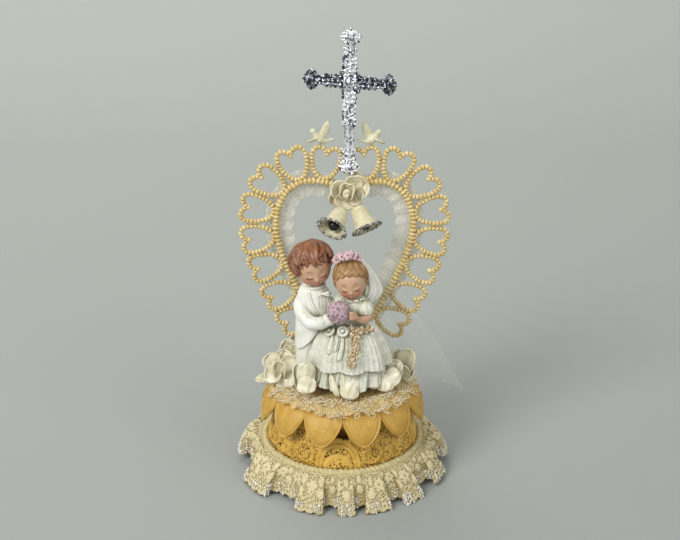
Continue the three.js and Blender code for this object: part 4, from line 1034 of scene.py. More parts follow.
CROSS_HEIGHT, CROSS_SPAN, CROSSING, CROSS_BAR_HALF = 77.3, 49.0, 49.7, 2.55
CROSS_SEAT, CROSS_YAW = np.array([1.8, -2.84, 112.6]), math.radians(-12)
BAR_PROFILE = [(-1.0, 0.0), (-1.0, 0.55), (-0.8, 0.95), (-0.6, 0.6), (-0.42, 0.5), (-0.2, 1.1), (0, 1.3), (0.2, 1.1),
               (0.42, 0.5), (0.6, 0.6), (0.8, 0.95), (1.0, 0.55), (1.0, 0.0), (0.9, -0.9), (-0.9, -0.9)]


def proud(flat, out):
    """A place in the cross's plane, that far out of it."""
    return np.insert(flat, 1, -out)


def scroll_curl(form, centre, start, turns, radius, thick, hand, out):
    """A curl of leaf in the cross's plane that ends in a bud."""
    phase = np.linspace(0, TAU * turns, 16)
    reach, a = radius * (1 - 0.75 * phase / phase[-1]), start + hand * phase
    path = np.stack([centre[0] + reach * np.cos(a), 0 * a - out, centre[1] + reach * np.sin(a)], 1)
    limb(form, path, thick * np.interp(phase, [0, phase[-1] * 0.3, phase[-1]], [0.5, 1, 0.8]), 8, 1.2)
    ball(form, path[-1], (thick * 1.3,) * 3, 4)


def cross_bar(form, start, end, wide):
    start, end = np.array(start, float), np.array(end, float)
    across = unit((end[1] - start[1], start[0] - end[0]))
    rings = [[proud(mix(start, end, t) + across * s * wide, d) for s, d in BAR_PROFILE]
             for t in np.linspace(0, 1, 12)]
    form.add(rings, lidded(12, len(BAR_PROFILE)))


def cross_end(form, tip, inward, rng):
    tip, inward = np.array(tip), np.array(inward, float)
    across = np.array([-inward[1], inward[0]])

    def spot(a, b):
        return tip + inward * a + across * b

    limb(form, [proud(spot(0.4, 0), 0.4), proud(spot(3.2, 0), 0.9)], [0.5, 1.5], 8)
    ball(form, proud(spot(4.6, 0), 1.3), (1.9, 1.1, 1.9), 8)
    for s in (-1, 1):
        heading = math.atan2(across[1] * s, across[0] * s)
        scroll_curl(form, spot(4.4, 2.9 * s), heading, 0.9, 1.9, 0.62, s, 0.7)
        scroll_curl(form, spot(2.0, 1.5 * s), heading + 0.6, 0.7, 1.15, 0.5, -s, 0.9)
        scroll_curl(form, spot(7.2, 2.5 * s), heading + math.pi, 0.8, 1.5, 0.55, -s, 0.6)
        ball(form, proud(spot(4.8, 5.0 * s), 0.4), (0.8, 0.7, 0.8), 4)
        ball(form, proud(spot(6.4, 4.1 * s), 0.5), (0.9, 0.8, 0.9), 4)
        limb(form, [proud(spot(4.6, 1.0 * s), 0.8), proud(spot(5.0, 4.4 * s), 0.6)], [1.2, 0.7], 8, 0.8)
    for _ in range(9):
        place = spot(rng.uniform(1.5, 7.5), rng.uniform(-2.6, 2.6))
        ball(form, proud(place, 1.2), rng.uniform(0.45, 0.8, 3), 3)


def cross():
    rng = np.random.default_rng(61)
    form, half, arm = Form(), CROSS_BAR_HALF, CROSS_SPAN / 2
    cross_bar(form, (0, 3), (0, CROSS_HEIGHT - 3), half)
    cross_bar(form, (-arm + 3, CROSSING), (arm - 3, CROSSING), half * 0.95)
    for tip, inward in (((0, CROSS_HEIGHT), (0, -1)), ((0, 0.0), (0, 1)),
                        ((arm, CROSSING), (-1, 0)), ((-arm, CROSSING), (1, 0))):
        cross_end(form, tip, inward, rng)
    for k in range(4):
        angle, hand = TAU * (k + 0.5) / 4, 1 if k % 2 else -1
        x, z = 3.5 * math.cos(angle), CROSSING + 3.5 * math.sin(angle)
        scroll_curl(form, (x, z), angle, 1.0, 2.0, 0.65, hand, 0.6)
        scroll_curl(form, (1.5 * x, z + 2.6 * math.sin(angle)), angle + 1.5, 0.8, 1.3, 0.55, -hand, 0.6)
    ball(form, (0, -1.4, CROSSING), (2.0, 1.2, 2.0), 8)
    for angle in around(8):
        ball(form, (2.2 * math.cos(angle), -1.5, CROSSING + 2.2 * math.sin(angle)), (0.75, 0.7, 0.75), 4)
    for low, high in ((CROSSING + 5, CROSSING + 17), (CROSSING - 22, CROSSING - 4), (7, 16)):
        for z in np.arange(low, high, 2.3):
            for s in (-1, 1):
                scroll_curl(form, (s * (2.6 + rng.uniform(-0.3, 0.3)), z), math.pi / 2 * s, 0.8, 1.25, 0.5, s, 0.5)
                ball(form, (s * rng.uniform(0.4, 1.6), -1.4, z + rng.uniform(-0.8, 0.8)),
                     rng.uniform(0.4, 0.85, 3), 3)
    for x in np.arange(5, 13, 2.4):
        for s in (-1, 1):
            for up in (-1, 1):
                scroll_curl(form, (s * x, CROSSING + up * 2.4), 0, 0.8, 1.1, 0.45, up, 0.5)
    for _ in range(30):
        x = rng.choice([-1, 1]) * rng.uniform(5, 19)
        ball(form, (x, -1.1, CROSSING + rng.uniform(-1.9, 1.9)), rng.uniform(0.3, 0.6, 3), 3)
    skin = fused(form, 0.2, 1)
    points = skin.all_points()
    middles = np.array([points[list(face)].mean(0) for face in skin.faces])
    # The arms take the chrome with painted dark reflection; the rest keeps the chrome with painted reflections.
    arms = (np.abs(middles[:, 0]) > 3.1) & (np.abs(middles[:, 2] - CROSSING) < 9)
    points = heart_place(points @ turn_of(0, 0, CROSS_YAW).T + CROSS_SEAT)
    made = sieve(Form(), points, skin.faces, arms)
    sieve(made, points, skin.faces, ~arms, slot=1)
    finished(made, "cross_cast", [chrome, chrome_painted_dark_reflection], ["cross"])


cross()


# Flowers; each petal: root, tip, width, the way it faces, its hollow and its turned lip

CLEFT_PETALS = [
    ((350, 192, 6.4), (367, 183, 3.6), 11.0, (-0.5, -1, 0.1), 2.4, 0.6),
    ((350, 196, 6.0), (355, 177, 5.0), 9.5, (0.0, -1, -0.3), 1.6, 0.4),
    ((344, 193, 6.4), (331, 203, 4.6), 9.0, (0.5, -1, 0.2), 1.6, 0.5),
    ((346, 191, 4.6), (346, 209, 0.6), 10.5, (0.1, -1, 0.9), 2.2, 0.8),
    ((343, 196, 5.4), (334, 184, 2.6), 8.5, (0.6, -1, 0.0), 2.0, 0.5),
    ((352, 194, 4.4), (361, 201, 0.8), 8.0, (-0.4, -1, 0.6), 1.8, 0.5),
    ((346, 199, 1.6), (344, 184, -1.2), 7.0, (0.4, -1, 0.3), 2.4, 0.5),
    ((348, 199, 1.2), (352, 185, -0.8), 6.0, (-0.6, -1, 0.2), 2.2, 0.4)]
PLATE_FLOWERS = {
    "rose_left": [
        ((279, 373, -5), (267, 355, -2), 9.5, (0.3, -1, 0.5), 2.0, 0.6),
        ((283, 369, -2), (284, 350, 1), 9.0, (0, -1, 0.3), 1.6, 0.5),
        ((283, 376, -7), (297, 359, -6), 12.0, (-0.45, -1, 0.4), 2.8, 0.7),
        ((281, 372, -9), (265, 377, -12), 9.5, (0.2, -0.7, 0.9), 2.0, 0.5),
        ((283, 374, -9), (288, 388, -14), 9.5, (-0.1, -0.5, 1), 1.8, 0.5),
        ((279, 378, -9), (276, 362, -11), 6.5, (0.5, -1, 0.3), 2.2, 0.4),
        ((282, 378, -9), (283, 363, -11), 5.5, (-0.6, -1, 0.3), 2.0, 0.4),
        ((270, 377, -8), (256, 380, -9), 4.0, (0, -0.6, 1), 0.6, 0.2)],
    "rose_left_rear": [
        ((292, 357, 13), (285, 340, 15), 8.0, (0.2, -1, 0.3), 1.8, 0.4),
        ((293, 356, 15), (296, 336, 17), 8.0, (-0.1, -1, 0.2), 1.6, 0.4),
        ((291, 356, 12), (283, 349, 11), 7.5, (0.3, -0.8, 0.6), 1.6, 0.4),
        ((294, 357, 12), (300, 345, 13), 7.0, (-0.4, -1, 0.4), 1.8, 0.4),
        ((292, 355, 11), (291, 364, 8), 7.0, (0, -0.6, 1), 1.4, 0.3)],
    "rose_front_left": [
        ((300, 390, -22), (297, 364, -19), 6.5, (0.5, -1, 0.3), 1.6, 0.4),
        ((312, 390, -21), (317, 366, -18), 6.0, (-0.5, -1, 0.3), 1.6, 0.4),
        ((306, 388, -25), (306, 363, -23), 9.5, (0, -1, 0.4), -2.6, -0.6),
        ((306, 376, -25), (307, 393, -28), 9.4, (0, -0.8, 0.8), -2.2, -0.3)],
    "rose_front": [
        ((352, 377, -26), (348, 399, -31), 9.4, (0.1, -1, 0.7), -2.4, -0.6),
        ((331, 372, -25), (339, 396, -29), 4.4, (0.9, -1, 0.5), -1.4, 0.3),
        ((341, 370, -25), (344, 388, -28), 4.6, (-0.4, -1, 0.4), -1.2, 0.2),
        ((357, 375, -25), (361, 389, -27), 5.4, (0.3, -1, 0.6), -1.2, 0.3)],
    "rose_right_front": [
        ((384, 374, -19), (387, 391, -23), 9.0, (0.15, -1, 0.8), -2.2, -0.5),
        ((378, 384, -21), (399, 372, -18), 9.5, (0.3, -1, 0.9), -2.0, -0.5),
        ((384, 380, -20), (366, 374, -19), 7.0, (-0.1, -1, 0.9), -1.6, -0.3),
        ((377, 371, -19), (372, 388, -24), 6.0, (-0.3, -1, 0.6), -1.6, 0.2),
        ((384, 376, -15), (378, 359, -12), 8.0, (0.2, -1, 0.3), 1.6, 0.4),
        ((393, 376, -13), (396, 360, -11), 8.0, (-0.2, -1, 0.3), 1.6, 0.4)],
    "rose_right": [
        ((403, 378, -1), (410, 350, -1), 10.5, (-0.75, -1, 0.3), 2.6, 0.6),
        ((401, 374, 2), (397, 350, 4), 9.5, (0.1, -1, 0.3), 1.8, 0.5),
        ((404, 374, -4), (413, 376, -7), 8.0, (-0.2, -0.7, 0.9), 1.6, 0.4),
        ((401, 375, -5), (396, 388, -10), 8.5, (0.1, -0.6, 1), 1.6, 0.4),
        ((400, 377, -4), (391, 364, -4), 7.0, (0.5, -1, 0.3), 1.8, 0.4),
        ((404, 380, -5), (403, 366, -7), 6.0, (0.2, -1, 0.3), 2.0, 0.4)]}
PETAL_WAIST, PETAL_FULL = 0.4, 0.6


def satin_petals(form, petals, crumple):
    """Broad petals from root to rounded tip, each hollow towards the way it faces, with a thin rim."""
    rows, columns = 22, 21
    v, u = np.meshgrid(np.linspace(0, 1, rows), np.linspace(-1, 1, columns), indexing="ij")
    rising = mix(PETAL_WAIST, 1, np.sin(np.clip(v / PETAL_FULL, 0, 1) * math.pi / 2) ** 0.9)
    past = np.clip(v - PETAL_FULL, 0, 1) / (1 - PETAL_FULL)
    closing = np.sqrt(np.clip(1 - past ** 2.2, 0.0006, 1))
    for root, tip, width, facing, cup, lip in petals:
        root, tip = at_depth(*root), at_depth(*tip)
        length, along = np.linalg.norm(tip - root), unit(tip - root)
        side = unit(np.cross(along, facing))
        face = unit(np.cross(side, along))
        seed = float(root[0] * 3.1 + tip[2] * 1.7)
        half = width / 2 * rising * closing
        half = half * (1 + 0.05 * np.sin(8 * v + seed) + 0.04 * np.sign(u) * np.sin(11 * v + 2 * seed))
        hollow = cup * (u ** 2 - 0.35) * np.sin(math.pi * np.clip(v, 0.05, 0.98)) ** 0.6
        hollow += crumple * (0.5 * np.sin(3.6 * u + 4.4 * v + seed) * np.sin(5.2 * v - 2.1 * u + 2 * seed)
                             + 0.22 * np.sin(7.5 * u - 6.3 * v + 3 * seed)) * smoothstep(0.05, 0.4, v)
        hollow -= lip * smoothstep(0.62, 1, v) ** 1.5
        points = (root + along * (length * v)[..., None] + side * (half * u)[..., None]
                  + face * hollow[..., None])
        form.add(points, lattice(rows, columns))
        limb(form, np.concatenate([points[4:-1, 0], points[-1, ::3], points[4:-1, -1][::-1]]), 0.2, 6)


def cleft_rose():
    form = Form()
    satin_petals(form, CLEFT_PETALS, 0.5)
    s = np.linspace(0, 1, 30)
    reach = 2.2 * (1 - 0.7 * s)
    folded = np.stack([reach * np.cos(5.5 * s), -1.6 * s - 0.6, reach * np.sin(5.5 * s) + 0.6 * s], 1)
    limb(form, folded + at_depth(346.5, 194, 0.6), taper(30, [0, 0.5, 1], [0.8, 1.2, 0.8]), 10)
    ball(form, at_depth(346.5, 194, 2.2), (3.2, 2.6, 3.2))
    finished(form, "cleft_flower", [cream_petal], ["cleft_rose"], thickness=0.75)


cleft_rose()

for flower, its_petals in PLATE_FLOWERS.items():
    rose = Form()
    satin_petals(rose, its_petals, 0.8)
    ball(rose, np.mean([at_depth(*petal[0]) for petal in its_petals], 0) + (0, 1.5, -0.8), (2.6, 2.0, 1.8))
    finished(rose, flower + "_satin", [satin], [flower], thickness=0.5)


# Bells

BELL_RADIUS, BELL_LENGTH, BELL_WALL, BELL_NECK, LOOP_RADIUS = 7.8, 13.4, 0.8, 1.3, 1.3
BEAD_RADIUS, BEAD_RAISED = 2.9, 2.61
BELL_SHARES = [(0.02, 0.0), (0.2, 0.002), (0.34, 0.02), (0.45, 0.09), (0.52, 0.2), (0.57, 0.34),
               (0.62, 0.5), (0.68, 0.66), (0.76, 0.8), (0.87, 0.91), (1.0, 1.0)]
LEFT_PIVOT, RIGHT_PIVOT = (0.4, 4.0, 146.3), (6.6, 4.0, 148.8)


def bell(side, pivot, direction, seed):
    """A flocked bell with glitter at its rim and a bead inside, hung on its wire loop."""
    direction, pivot, body = unit(direction), np.array(pivot), f"bell_{side}_body"
    turn = aim(direction, (0, 0, -1))
    outer = curve(np.array(BELL_SHARES) * (BELL_RADIUS, -BELL_LENGTH), 40)
    inner = np.clip(outer - (BELL_WALL, 0), 0.02, None)[::-1]
    inner[:, 1] = np.minimum(outer[::-1, 1], -1.1)
    form = lathe(np.concatenate([outer, inner]) - (0, BELL_NECK), 72, turn, pivot)
    ring = LOOP_RADIUS * np.stack([np.cos(around(24)), 0 * around(24), np.sin(around(24))], 1)
    tube(form, ring + pivot, 0.36, 8, True, up=(0, 1, 0), slot=1)
    hang = unit((direction[0], 0, direction[2])) * LOOP_RADIUS
    limb(form, [pivot + hang, pivot + direction * 1.9], [0.5, 0.6], 10, slot=1)
    finished(form, f"bell_{side}_flocked", [flocked, wire], [f"bell_{side}"], body)
    rng = np.random.default_rng(seed)
    glitter, count, flake = Form(), 1500, 0.6
    a = rng.uniform(0, TAU, count)
    t = rng.uniform(0, 1, count) ** 1.4
    radius = BELL_RADIUS * (1.0 - 0.1 * t) + rng.uniform(-0.15, 0.35, count)
    radius -= np.where(rng.random(count) < 0.35, BELL_WALL, 0)
    height = -BELL_NECK - BELL_LENGTH * (1 - 0.075 * t) + rng.uniform(-0.15, 0.2, count)
    places = polar(radius, a, height) @ turn.T + pivot
    flakes(glitter, places[::3], flake, rng)
    flakes(glitter, np.delete(places, slice(None, None, 3), 0), 0.62, rng, 1)
    finished(glitter, f"bell_{side}_glitter", [silver_flake_painted_glint, black_flake], (), body, smooth=False)
    bead = Form()
    ball(bead, pivot + direction * (BELL_NECK + BELL_LENGTH - BEAD_RAISED), (BEAD_RADIUS,) * 3, 16)
    limb(bead, [pivot + direction * 3.2, pivot + direction * 10.0], 0.5, 10)
    finished(bead, f"clapper_{side}_bead", [black_gloss], [f"clapper_{side}"], body)


bell("left", LEFT_PIVOT, (-0.40, -0.79, -0.47), 81)
bell("right", RIGHT_PIVOT, (0.40, -0.51, -0.76), 82)


def hanger():
    """A bent wire that carries both bells from behind the cleft flower."""
    back, tip, top = 7.4, 3.24, 156.3
    (lx, _, lz), (rx, _, rz) = LEFT_PIVOT, RIGHT_PIVOT
    rise = (top - (lz + rz) / 2) * 0.8
    route = [(lx, tip, lz), (lx, 4.4, lz), (lx, back - 0.8, lz), (lx, back, lz + 1.2),
             (mix(lx, rx, 0.25), back, lz + rise), (mix(lx, rx, 0.75), back, rz + rise),
             (rx, back, rz + 1.2), (rx, back - 0.8, rz), (rx, 4.4, rz), (rx, tip, rz)]
    finished(tube(Form(), curve(route, 60), 0.4, 10), "hanger_wire", [wire], ["bell_hanger"])


hanger()


# Bride and groom

# Relief of a calm child doll's face: azimuth, elevation, spreads in degrees, height in mm
FACE_RELIEF = [(30, -28, 20, 17, 0.8), (0, -17, 6.5, 7, 1.35), (0, -5, 6, 12, 0.45), (22, -3, 11, 9, -0.5),
               (22, -8, 9, 5, 0.4), (0, -31, 7, 3.2, 0.45), (0, -34.3, 8, 1.7, -0.35), (0, -38, 6.5, 3.4, 0.5),
               (0, -54, 15, 12, 0.9), (0, 26, 34, 20, 0.35)]


class Face:
    def __init__(self, centre, radii, yaw, roll, pitch):
        self.centre, self.radii = np.array(centre, float), np.array(radii, float)
        self.turn = turn_of(z=math.radians(yaw)) @ turn_of(y=math.radians(roll)) @ turn_of(x=math.radians(pitch))
        self.scale = self.radii[2] / 10.2

    def way(self, az, el):
        az, el = np.radians(az), np.radians(el)
        return np.stack([np.sin(az) * np.cos(el), -np.cos(az) * np.cos(el), np.sin(el)], -1)

    def at(self, az, el, lift=0.0):
        """Places on the face by azimuth and elevation, its relief included."""
        az, el = np.broadcast_arrays(np.asarray(az, float), np.asarray(el, float))
        way = self.way(az, el)
        swell = np.full(az.shape, float(lift))
        for a, e, wide, tall, height in FACE_RELIEF:
            for side in ((-1, 1) if a else (1,)):
                apart = (az - side * a + 180) % 360 - 180
                spread = (apart * np.cos(np.radians(el)) / wide) ** 2 + ((el - e) / tall) ** 2
                swell += height * self.scale * np.exp(-spread)
        points = way * self.radii
        points[..., 0] *= 1 - 0.1 * smoothstep(-15, -75, el)
        return (points + way * swell[..., None]) @ self.turn.T + self.centre

    def round(self, way, offset, radii):
        return (np.asarray(way) * radii + offset) @ self.turn.T + self.centre


def painted_face(face, name, skin):
    """A head with closed eyes, brows and lips laid on it."""
    el, az = np.meshgrid(np.linspace(-89, 89, 96), np.arange(0, 360, 2.5), indexing="ij")
    form = Form().add(face.at(az, el), lidded(*el.shape))
    size = face.scale
    for side in (-1, 1):
        s = np.linspace(0, 1, 12)
        lash = face.at(side * mix(12, 32, s), -9.5 - 3.2 * np.sin(math.pi * s) + s, 0.05)
        limb(form, lash, taper(12, [0, 0.4, 1], [0.1, 0.27, 0.2]) * size, 8, slot=1)
        for k in range(5):
            at = 0.3 + 0.16 * k
            az, el = side * mix(12, 32, at), -9.5 - 3.2 * math.sin(math.pi * at) + at
            flick = face.at([az, az + side * 2.2], [el, el - 3.2], 0.08)
            limb(form, flick, np.array([0.13, 0.05]) * size, 6, slot=1)
        brow = face.at(side * mix(11, 33, s), 8 + 4.2 * np.sin(math.pi * s ** 0.8))
        limb(form, brow, taper(12, [0, 0.5, 1], [0.14, 0.27, 0.1]) * size, 8, slot=2)
    s = np.linspace(-1, 1, 15)
    upper = face.at(6.4 * s, -31.6 - 0.6 * np.abs(s) + 0.7 * hump(np.abs(s) - 0.4, 0.25), 0.02)
    lower = face.at(4.8 * s, -37.2 + 1.3 * s ** 2, 0.02)
    for lip, full in ((upper, 0.34), (lower, 0.5)):
        limb(form, lip, (0.2 + full * (1 - s ** 2)) * size, 8, slot=3)
    finished(form, name, [skin, brown_line, brow_line, lip_red])


def strands(form, face, crown, ends, offset, radii, width, rng, wave, curl):
    """Locks from the crown over the head to their ends, each with a wave and a turned tip."""
    crown = unit(face.way(*crown))
    t = np.linspace(0, 1, 18)
    for az, el in ends:
        end = face.way(az, el)
        angle = math.acos(np.clip(np.dot(crown, end), -1, 1))
        arc = (np.sin((1 - t) * angle)[:, None] * crown + np.sin(t * angle)[:, None] * end) / math.sin(angle)
        hand = rng.choice([-1, 1])
        sway = wave * np.sin(t * (4.5 + rng.uniform(-1, 1)) + rng.uniform(0, TAU)) * t + hand * curl * t ** 4
        way = arc + unit(np.cross(crown, end)) * sway[:, None]
        way /= np.linalg.norm(way, axis=1)[:, None]
        lift = 1 + 0.1 * rng.uniform(0, 1) + 0.02 * np.sin(t * 5 + rng.uniform(0, TAU))
        thick = np.interp(t, [0, 0.45, 0.85, 1], [0.45, 1.0, 0.9, 0.5]) * width * rng.uniform(0.85, 1.15)
        limb(form, face.round(way * lift[:, None], offset, radii), thick, 8)


def hairline(stops, count, rng, lift=0.0):
    az = -180 + 360 * (np.arange(count) + rng.uniform(-0.3, 0.3, count)) / count
    return np.stack([az, np.interp(az, *np.transpose(stops)) + lift + rng.uniform(-3, 3, count)], 1)


def blossom(form, centre, way, radius, start, eye):
    """Five small petals round a disc; an eye of 1 has the second material."""
    turn = aim(way)
    for angle in start + around(5):
        out = np.array([math.cos(angle), math.sin(angle), 0])
        petal = turn @ turn_of(z=angle) @ turn_of(y=0.35)
        ball(form, centre + turn @ (out * radius * 0.56), (radius * 0.5, radius * 0.42, radius * 0.22), 4, petal)
    ball(form, centre, (radius * 0.4, radius * 0.4, radius * 0.2), 4, turn)
    ball(form, centre + turn @ np.array([0, 0, radius * 0.16]), [0.48] * 3, 3, slot=eye)


GROOM = Face((-15.3, -5.4, 118.2), (9.4, 9.6, 10.3), 12, -8, 6)
BRIDE = Face((4.1, -13, 113.0), (7.9, 8.3, 9.4), -2, -7, 2)
BRIDE_WAIST, BRIDE_HEM = 91.0, 68.6
PALE_SKIN = (0.60, 0.375, 0.235)
GROOM_HAIRLINE = [(-180, -38), (-110, -40), (-88, -36), (-72, -24), (-52, 10), (-18, 27), (10, 25), (36, 25),
                  (58, 12), (78, -12), (110, -34), (180, -38)]
GROOM_LOCKS = [(-86, -26), (-78, -10), (-68, 2), (-50, 12), (-36, 20), (-22, 26), (-8, 24), (6, 27), (20, 23),
               (36, 26), (50, 18), (62, 6), (74, -8), (-60, 30), (-30, 44), (0, 46), (30, 44), (56, 34),
               (-88, 10), (84, 14)]
BRIDE_HAIRLINE = [(-180, -40), (-100, -30), (-84, -16), (-70, 12), (-44, 30), (0, 36), (44, 30), (70, 12),
                  (84, -16), (100, -30), (180, -40)]


def groom_hair(rng):
    offset, radii = np.array([0, 1.3, 1.5]), np.array([10.3, 10.4, 10.1])
    ends = np.concatenate([hairline(GROOM_HAIRLINE, 62, rng), hairline(GROOM_HAIRLINE, 30, rng, 22)])
    form = Form()
    strands(form, GROOM, (150, 66), ends, offset, radii * 0.985, 0.86, rng, 0.13, 0.3)
    strands(form, GROOM, (150, 66), np.array(GROOM_LOCKS, float), offset, radii * 1.05, 1.15, rng, 0.2, 0.55)
    cap = ball(Form(), GROOM.round((0, 0, 0), offset, radii), radii * 0.985, 16, GROOM.turn)
    local = (cap.all_points() - GROOM.centre) @ GROOM.turn
    az = np.degrees(np.arctan2(local[:, 0], -local[:, 1]))
    el = np.degrees(np.arctan2(local[:, 2], np.hypot(local[:, 0], local[:, 1])))
    low = el < np.interp(az, *np.transpose(GROOM_HAIRLINE)) + 4
    inward = np.where(low[:, None], local * 0.86, local)
    form.add(inward @ GROOM.turn.T + GROOM.centre, cap.faces)
    finished(fused(form, 0.36, 1), "groom_hair", [auburn])


def bride_hair(rng):
    form = Form()
    offset, radii = np.array([0, 1.3, 1.0]), np.array([8.2, 8.6, 9.5])
    ball(form, BRIDE.round((0, 0, 0), offset + (0, 1.6, 0.4), radii), radii * 0.93, 16, BRIDE.turn)
    strands(form, BRIDE, (180, 60), hairline(BRIDE_HAIRLINE, 64, rng), offset, radii, 0.78, rng, 0.08, 0.12)
    for az, el, size in ((2, 38, 1.0), (-27, 36, 0.85), (29, 36, 0.85), (-52, 24, 0.75), (52, 24, 0.75)):
        s = np.linspace(0, 1, 26)
        whirl, reach = s * 3.4 * math.pi + az * 0.1, mix(15, 3.5, s) * size
        way = BRIDE.way(az + reach * np.cos(whirl), el + reach * np.sin(whirl))
        limb(form, BRIDE.round(way, offset, radii * 1.07), 0.62, 8)
    for side in (-1, 1):
        s = np.linspace(0, 1, 20)
        way = BRIDE.way(side * (74 + 4 * np.sin(s * 9)), mix(16, -16, s))
        limb(form, BRIDE.round(way, offset, radii), 0.95, 8)
    finished(fused(form, 0.34, 1), "bride_hair", [golden])
    flowers = Form()
    for u, v, size in ((336.2, 260.0, 2.4), (342.0, 257.0, 2.3), (347.6, 255.6, 2.5), (353.4, 255.8, 2.4),
                       (358.2, 257.4, 2.0), (339.4, 256.0, 1.9), (350.8, 253.4, 1.9)):
        place = at_depth(u, v, -17.0 + 0.25 * abs(u - 346))
        blossom(flowers, place, (0.02 * (u - 346), -1.0, 0.5), size, u, int(size > 1.95))
    finished(flowers, "headdress", [pink, dark_dot])


def ceramic_veil():
    """The moulded veil that falls behind the bride's cheek and flares out beside her."""
    inner = through([(352, 257, -9), (362, 266, -9.5), (365.5, 280, -10), (366, 291, -11), (362, 300, -12)], 40)
    outer = through([(355, 254, -7), (371.5, 272, -6), (380.2, 288, -7), (377.5, 295.5, -8), (367, 303, -10)], 40)
    s = np.linspace(0, 1, 24)
    sheet = mix(inner[:, None], outer[:, None], s[:, None])
    folds = 0.55 * np.cos(s * 3 * TAU) * np.sin(math.pi * s)
    sheet[..., 1] -= 2.2 * np.sin(math.pi * s) + folds * np.linspace(0, 1, 40)[:, None]
    form = Form().add(sheet, lattice(40, 24))
    limb(form, outer, 0.75, 10)
    limb(form, inner, 0.6, 10)
    finished(form, "moulded_veil", [bisque], thickness=1.1)


SUIT_SECTIONS = [(-16.4, -6, 51.9, 8.4, 7.5), (-16.2, -6, 60, 8.1, 7.4), (-15.8, -6, 70, 8.6, 7.8),
                 (-15.2, -6, 80, 8.7, 7.7), (-14.8, -6, 90, 9.0, 7.8), (-14.6, -6, 99, 9.2, 7.4),
                 (-14.9, -6, 105, 7.8, 6.4), (-15.2, -5.6, 109.5, 4.8, 4.4), (-15.4, -5.2, 113, 4.2, 4.0)]


def groom_body():
    form = Form()
    loft(form, SUIT_SECTIONS, 72, 90)
    # The jacket's tails: a skin over the suit that reaches lowest at the rear left
    columns, rows = 96, 40
    angle = around(columns)
    apart = np.abs((angle - math.radians(205) + math.pi) % TAU - math.pi)
    low = mix(73.5, 90.0, smoothstep(0.1, 2.3, apart))
    levels = [70, 80, 90, 99, 105]
    rings = []
    for i in range(rows + 2):
        t = np.clip((i - 2) / (rows - 1), 0, 1)
        z = mix(low, 103.0, t)
        grow = (-0.6, 0.35)[i] if i < 2 else mix(0.9, 0.25, t)
        rx = np.interp(z, levels, [8.6, 8.7, 9.0, 9.2, 7.8]) + grow
        ry = np.interp(z, levels, [7.8, 7.7, 7.8, 7.4, 6.4]) + grow
        x = np.interp(z, levels[:4], [-15.8, -15.2, -14.8, -14.6])
        rings.append(polar(rx, angle, z - (0.45 if i == 1 else 0), x, -6, ry))
    form.add(rings, lattice(rows + 2, columns, False, True))
    sleeve = through([(303.5, 299, -5), (300.8, 306, -9), (303.5, 315, -13.5), (311, 322.5, -17), (321, 323.2, -20),
                      (329.5, 319.5, -23)], 30)
    limb(form, sleeve, taper(30, [0, 0.3, 0.6, 1], [4.2, 3.7, 3.5, 3.0]), 20)
    limb(form, through([(328, 320, -22.5), (330, 319.2, -23)], 4), 3.3, 20)
    limb(form, through([(322, 298, -6), (331, 305, -8), (335, 313, -12)], 14), 3.6, 20)
    groom_collar(form)
    finished(form, "groom_suit", [bisque], ["couple_figurine"])


LAPELS = [((309.5, 293), (312, 303), (317.5, 313), (324, 322)), ((331, 292.5), (329.5, 300), (327, 309))]
WRINKLES = [((300.5, 309), (304, 311.5), (306.5, 316)), ((301.5, 312.5), (305.5, 314), (308.5, 319)),
            ((304.5, 318), (308, 317.5), (312, 320.5)), ((314, 318.5), (317, 321), (318.5, 325)),
            ((320.5, 319), (322.6, 321.5), (323.2, 325.5)), ((303, 300), (306, 303), (307.5, 308))]
WRINKLE_RADII = [0.1, 0.28, 0.34, 0.36, 0.36, 0.36, 0.34, 0.3, 0.26, 0.2, 0.15, 0.1]


def groom_collar(form):
    """Lapels, shirt pleats, bow, collar and sleeve wrinkles, laid on the suit."""
    suit = form.tree()
    for stops in LAPELS:
        limb(form, laid(suit, stops, 0.15, 20), 0.55, 8)
    for u in (318, 321, 324, 327):
        limb(form, laid(suit, ((u, 296.5), (u + 1.2, 308)), 0.05, 14), 0.3, 6)
    knot = frame_cast(suit, 322.2, 294.0, 0.9)[0]
    ball(form, knot, (0.8, 0.6, 0.9), 4)
    for side in (-1, 1):
        for lift in (0.7, -0.7):
            tip = knot + np.array([side * 2.7, 0.2, lift])
            limb(form, [knot, mix(knot, tip, 0.5), tip], [0.4, 0.7, 0.75], 10)
    angle = around(28)
    tube(form, polar(5.2, angle, 0.5 * np.cos(angle), depth=4.8) + GROOM.centre + (0.6, -0.6, -10.3), 1.0, 10, True)
    for stops in WRINKLES:
        limb(form, laid(suit, stops, -0.05, 12), WRINKLE_RADII, 8)


def skirt_ring(t, angle):
    """A ring of the bride's skirt, from its waist at 0 to its hem at 1."""
    shares = [0, 0.08, 0.2, 0.45, 0.75, 1]
    rx = np.interp(t, shares, [8.6, 11.2, 14.4, 17.9, 20.4, 21.6])
    ry = np.interp(t, shares, [7.4, 8.8, 10.4, 12.6, 14.4, 15.2])
    broad = 0.045 * np.cos(9 * angle + 0.6) * (0.4 + 0.6 * t)
    swell = 1 + smoothstep(0, 0.3, t) * (0.016 * np.cos(46 * angle) + broad)
    drop = -1.1 * smoothstep(0.7, 1, t) * np.abs(np.cos(9 * angle / 2 + 0.3)) ** 0.7
    return polar(rx * swell, angle, mix(BRIDE_WAIST, BRIDE_HEM, t) + drop, 3.4, -13.6, ry * swell)


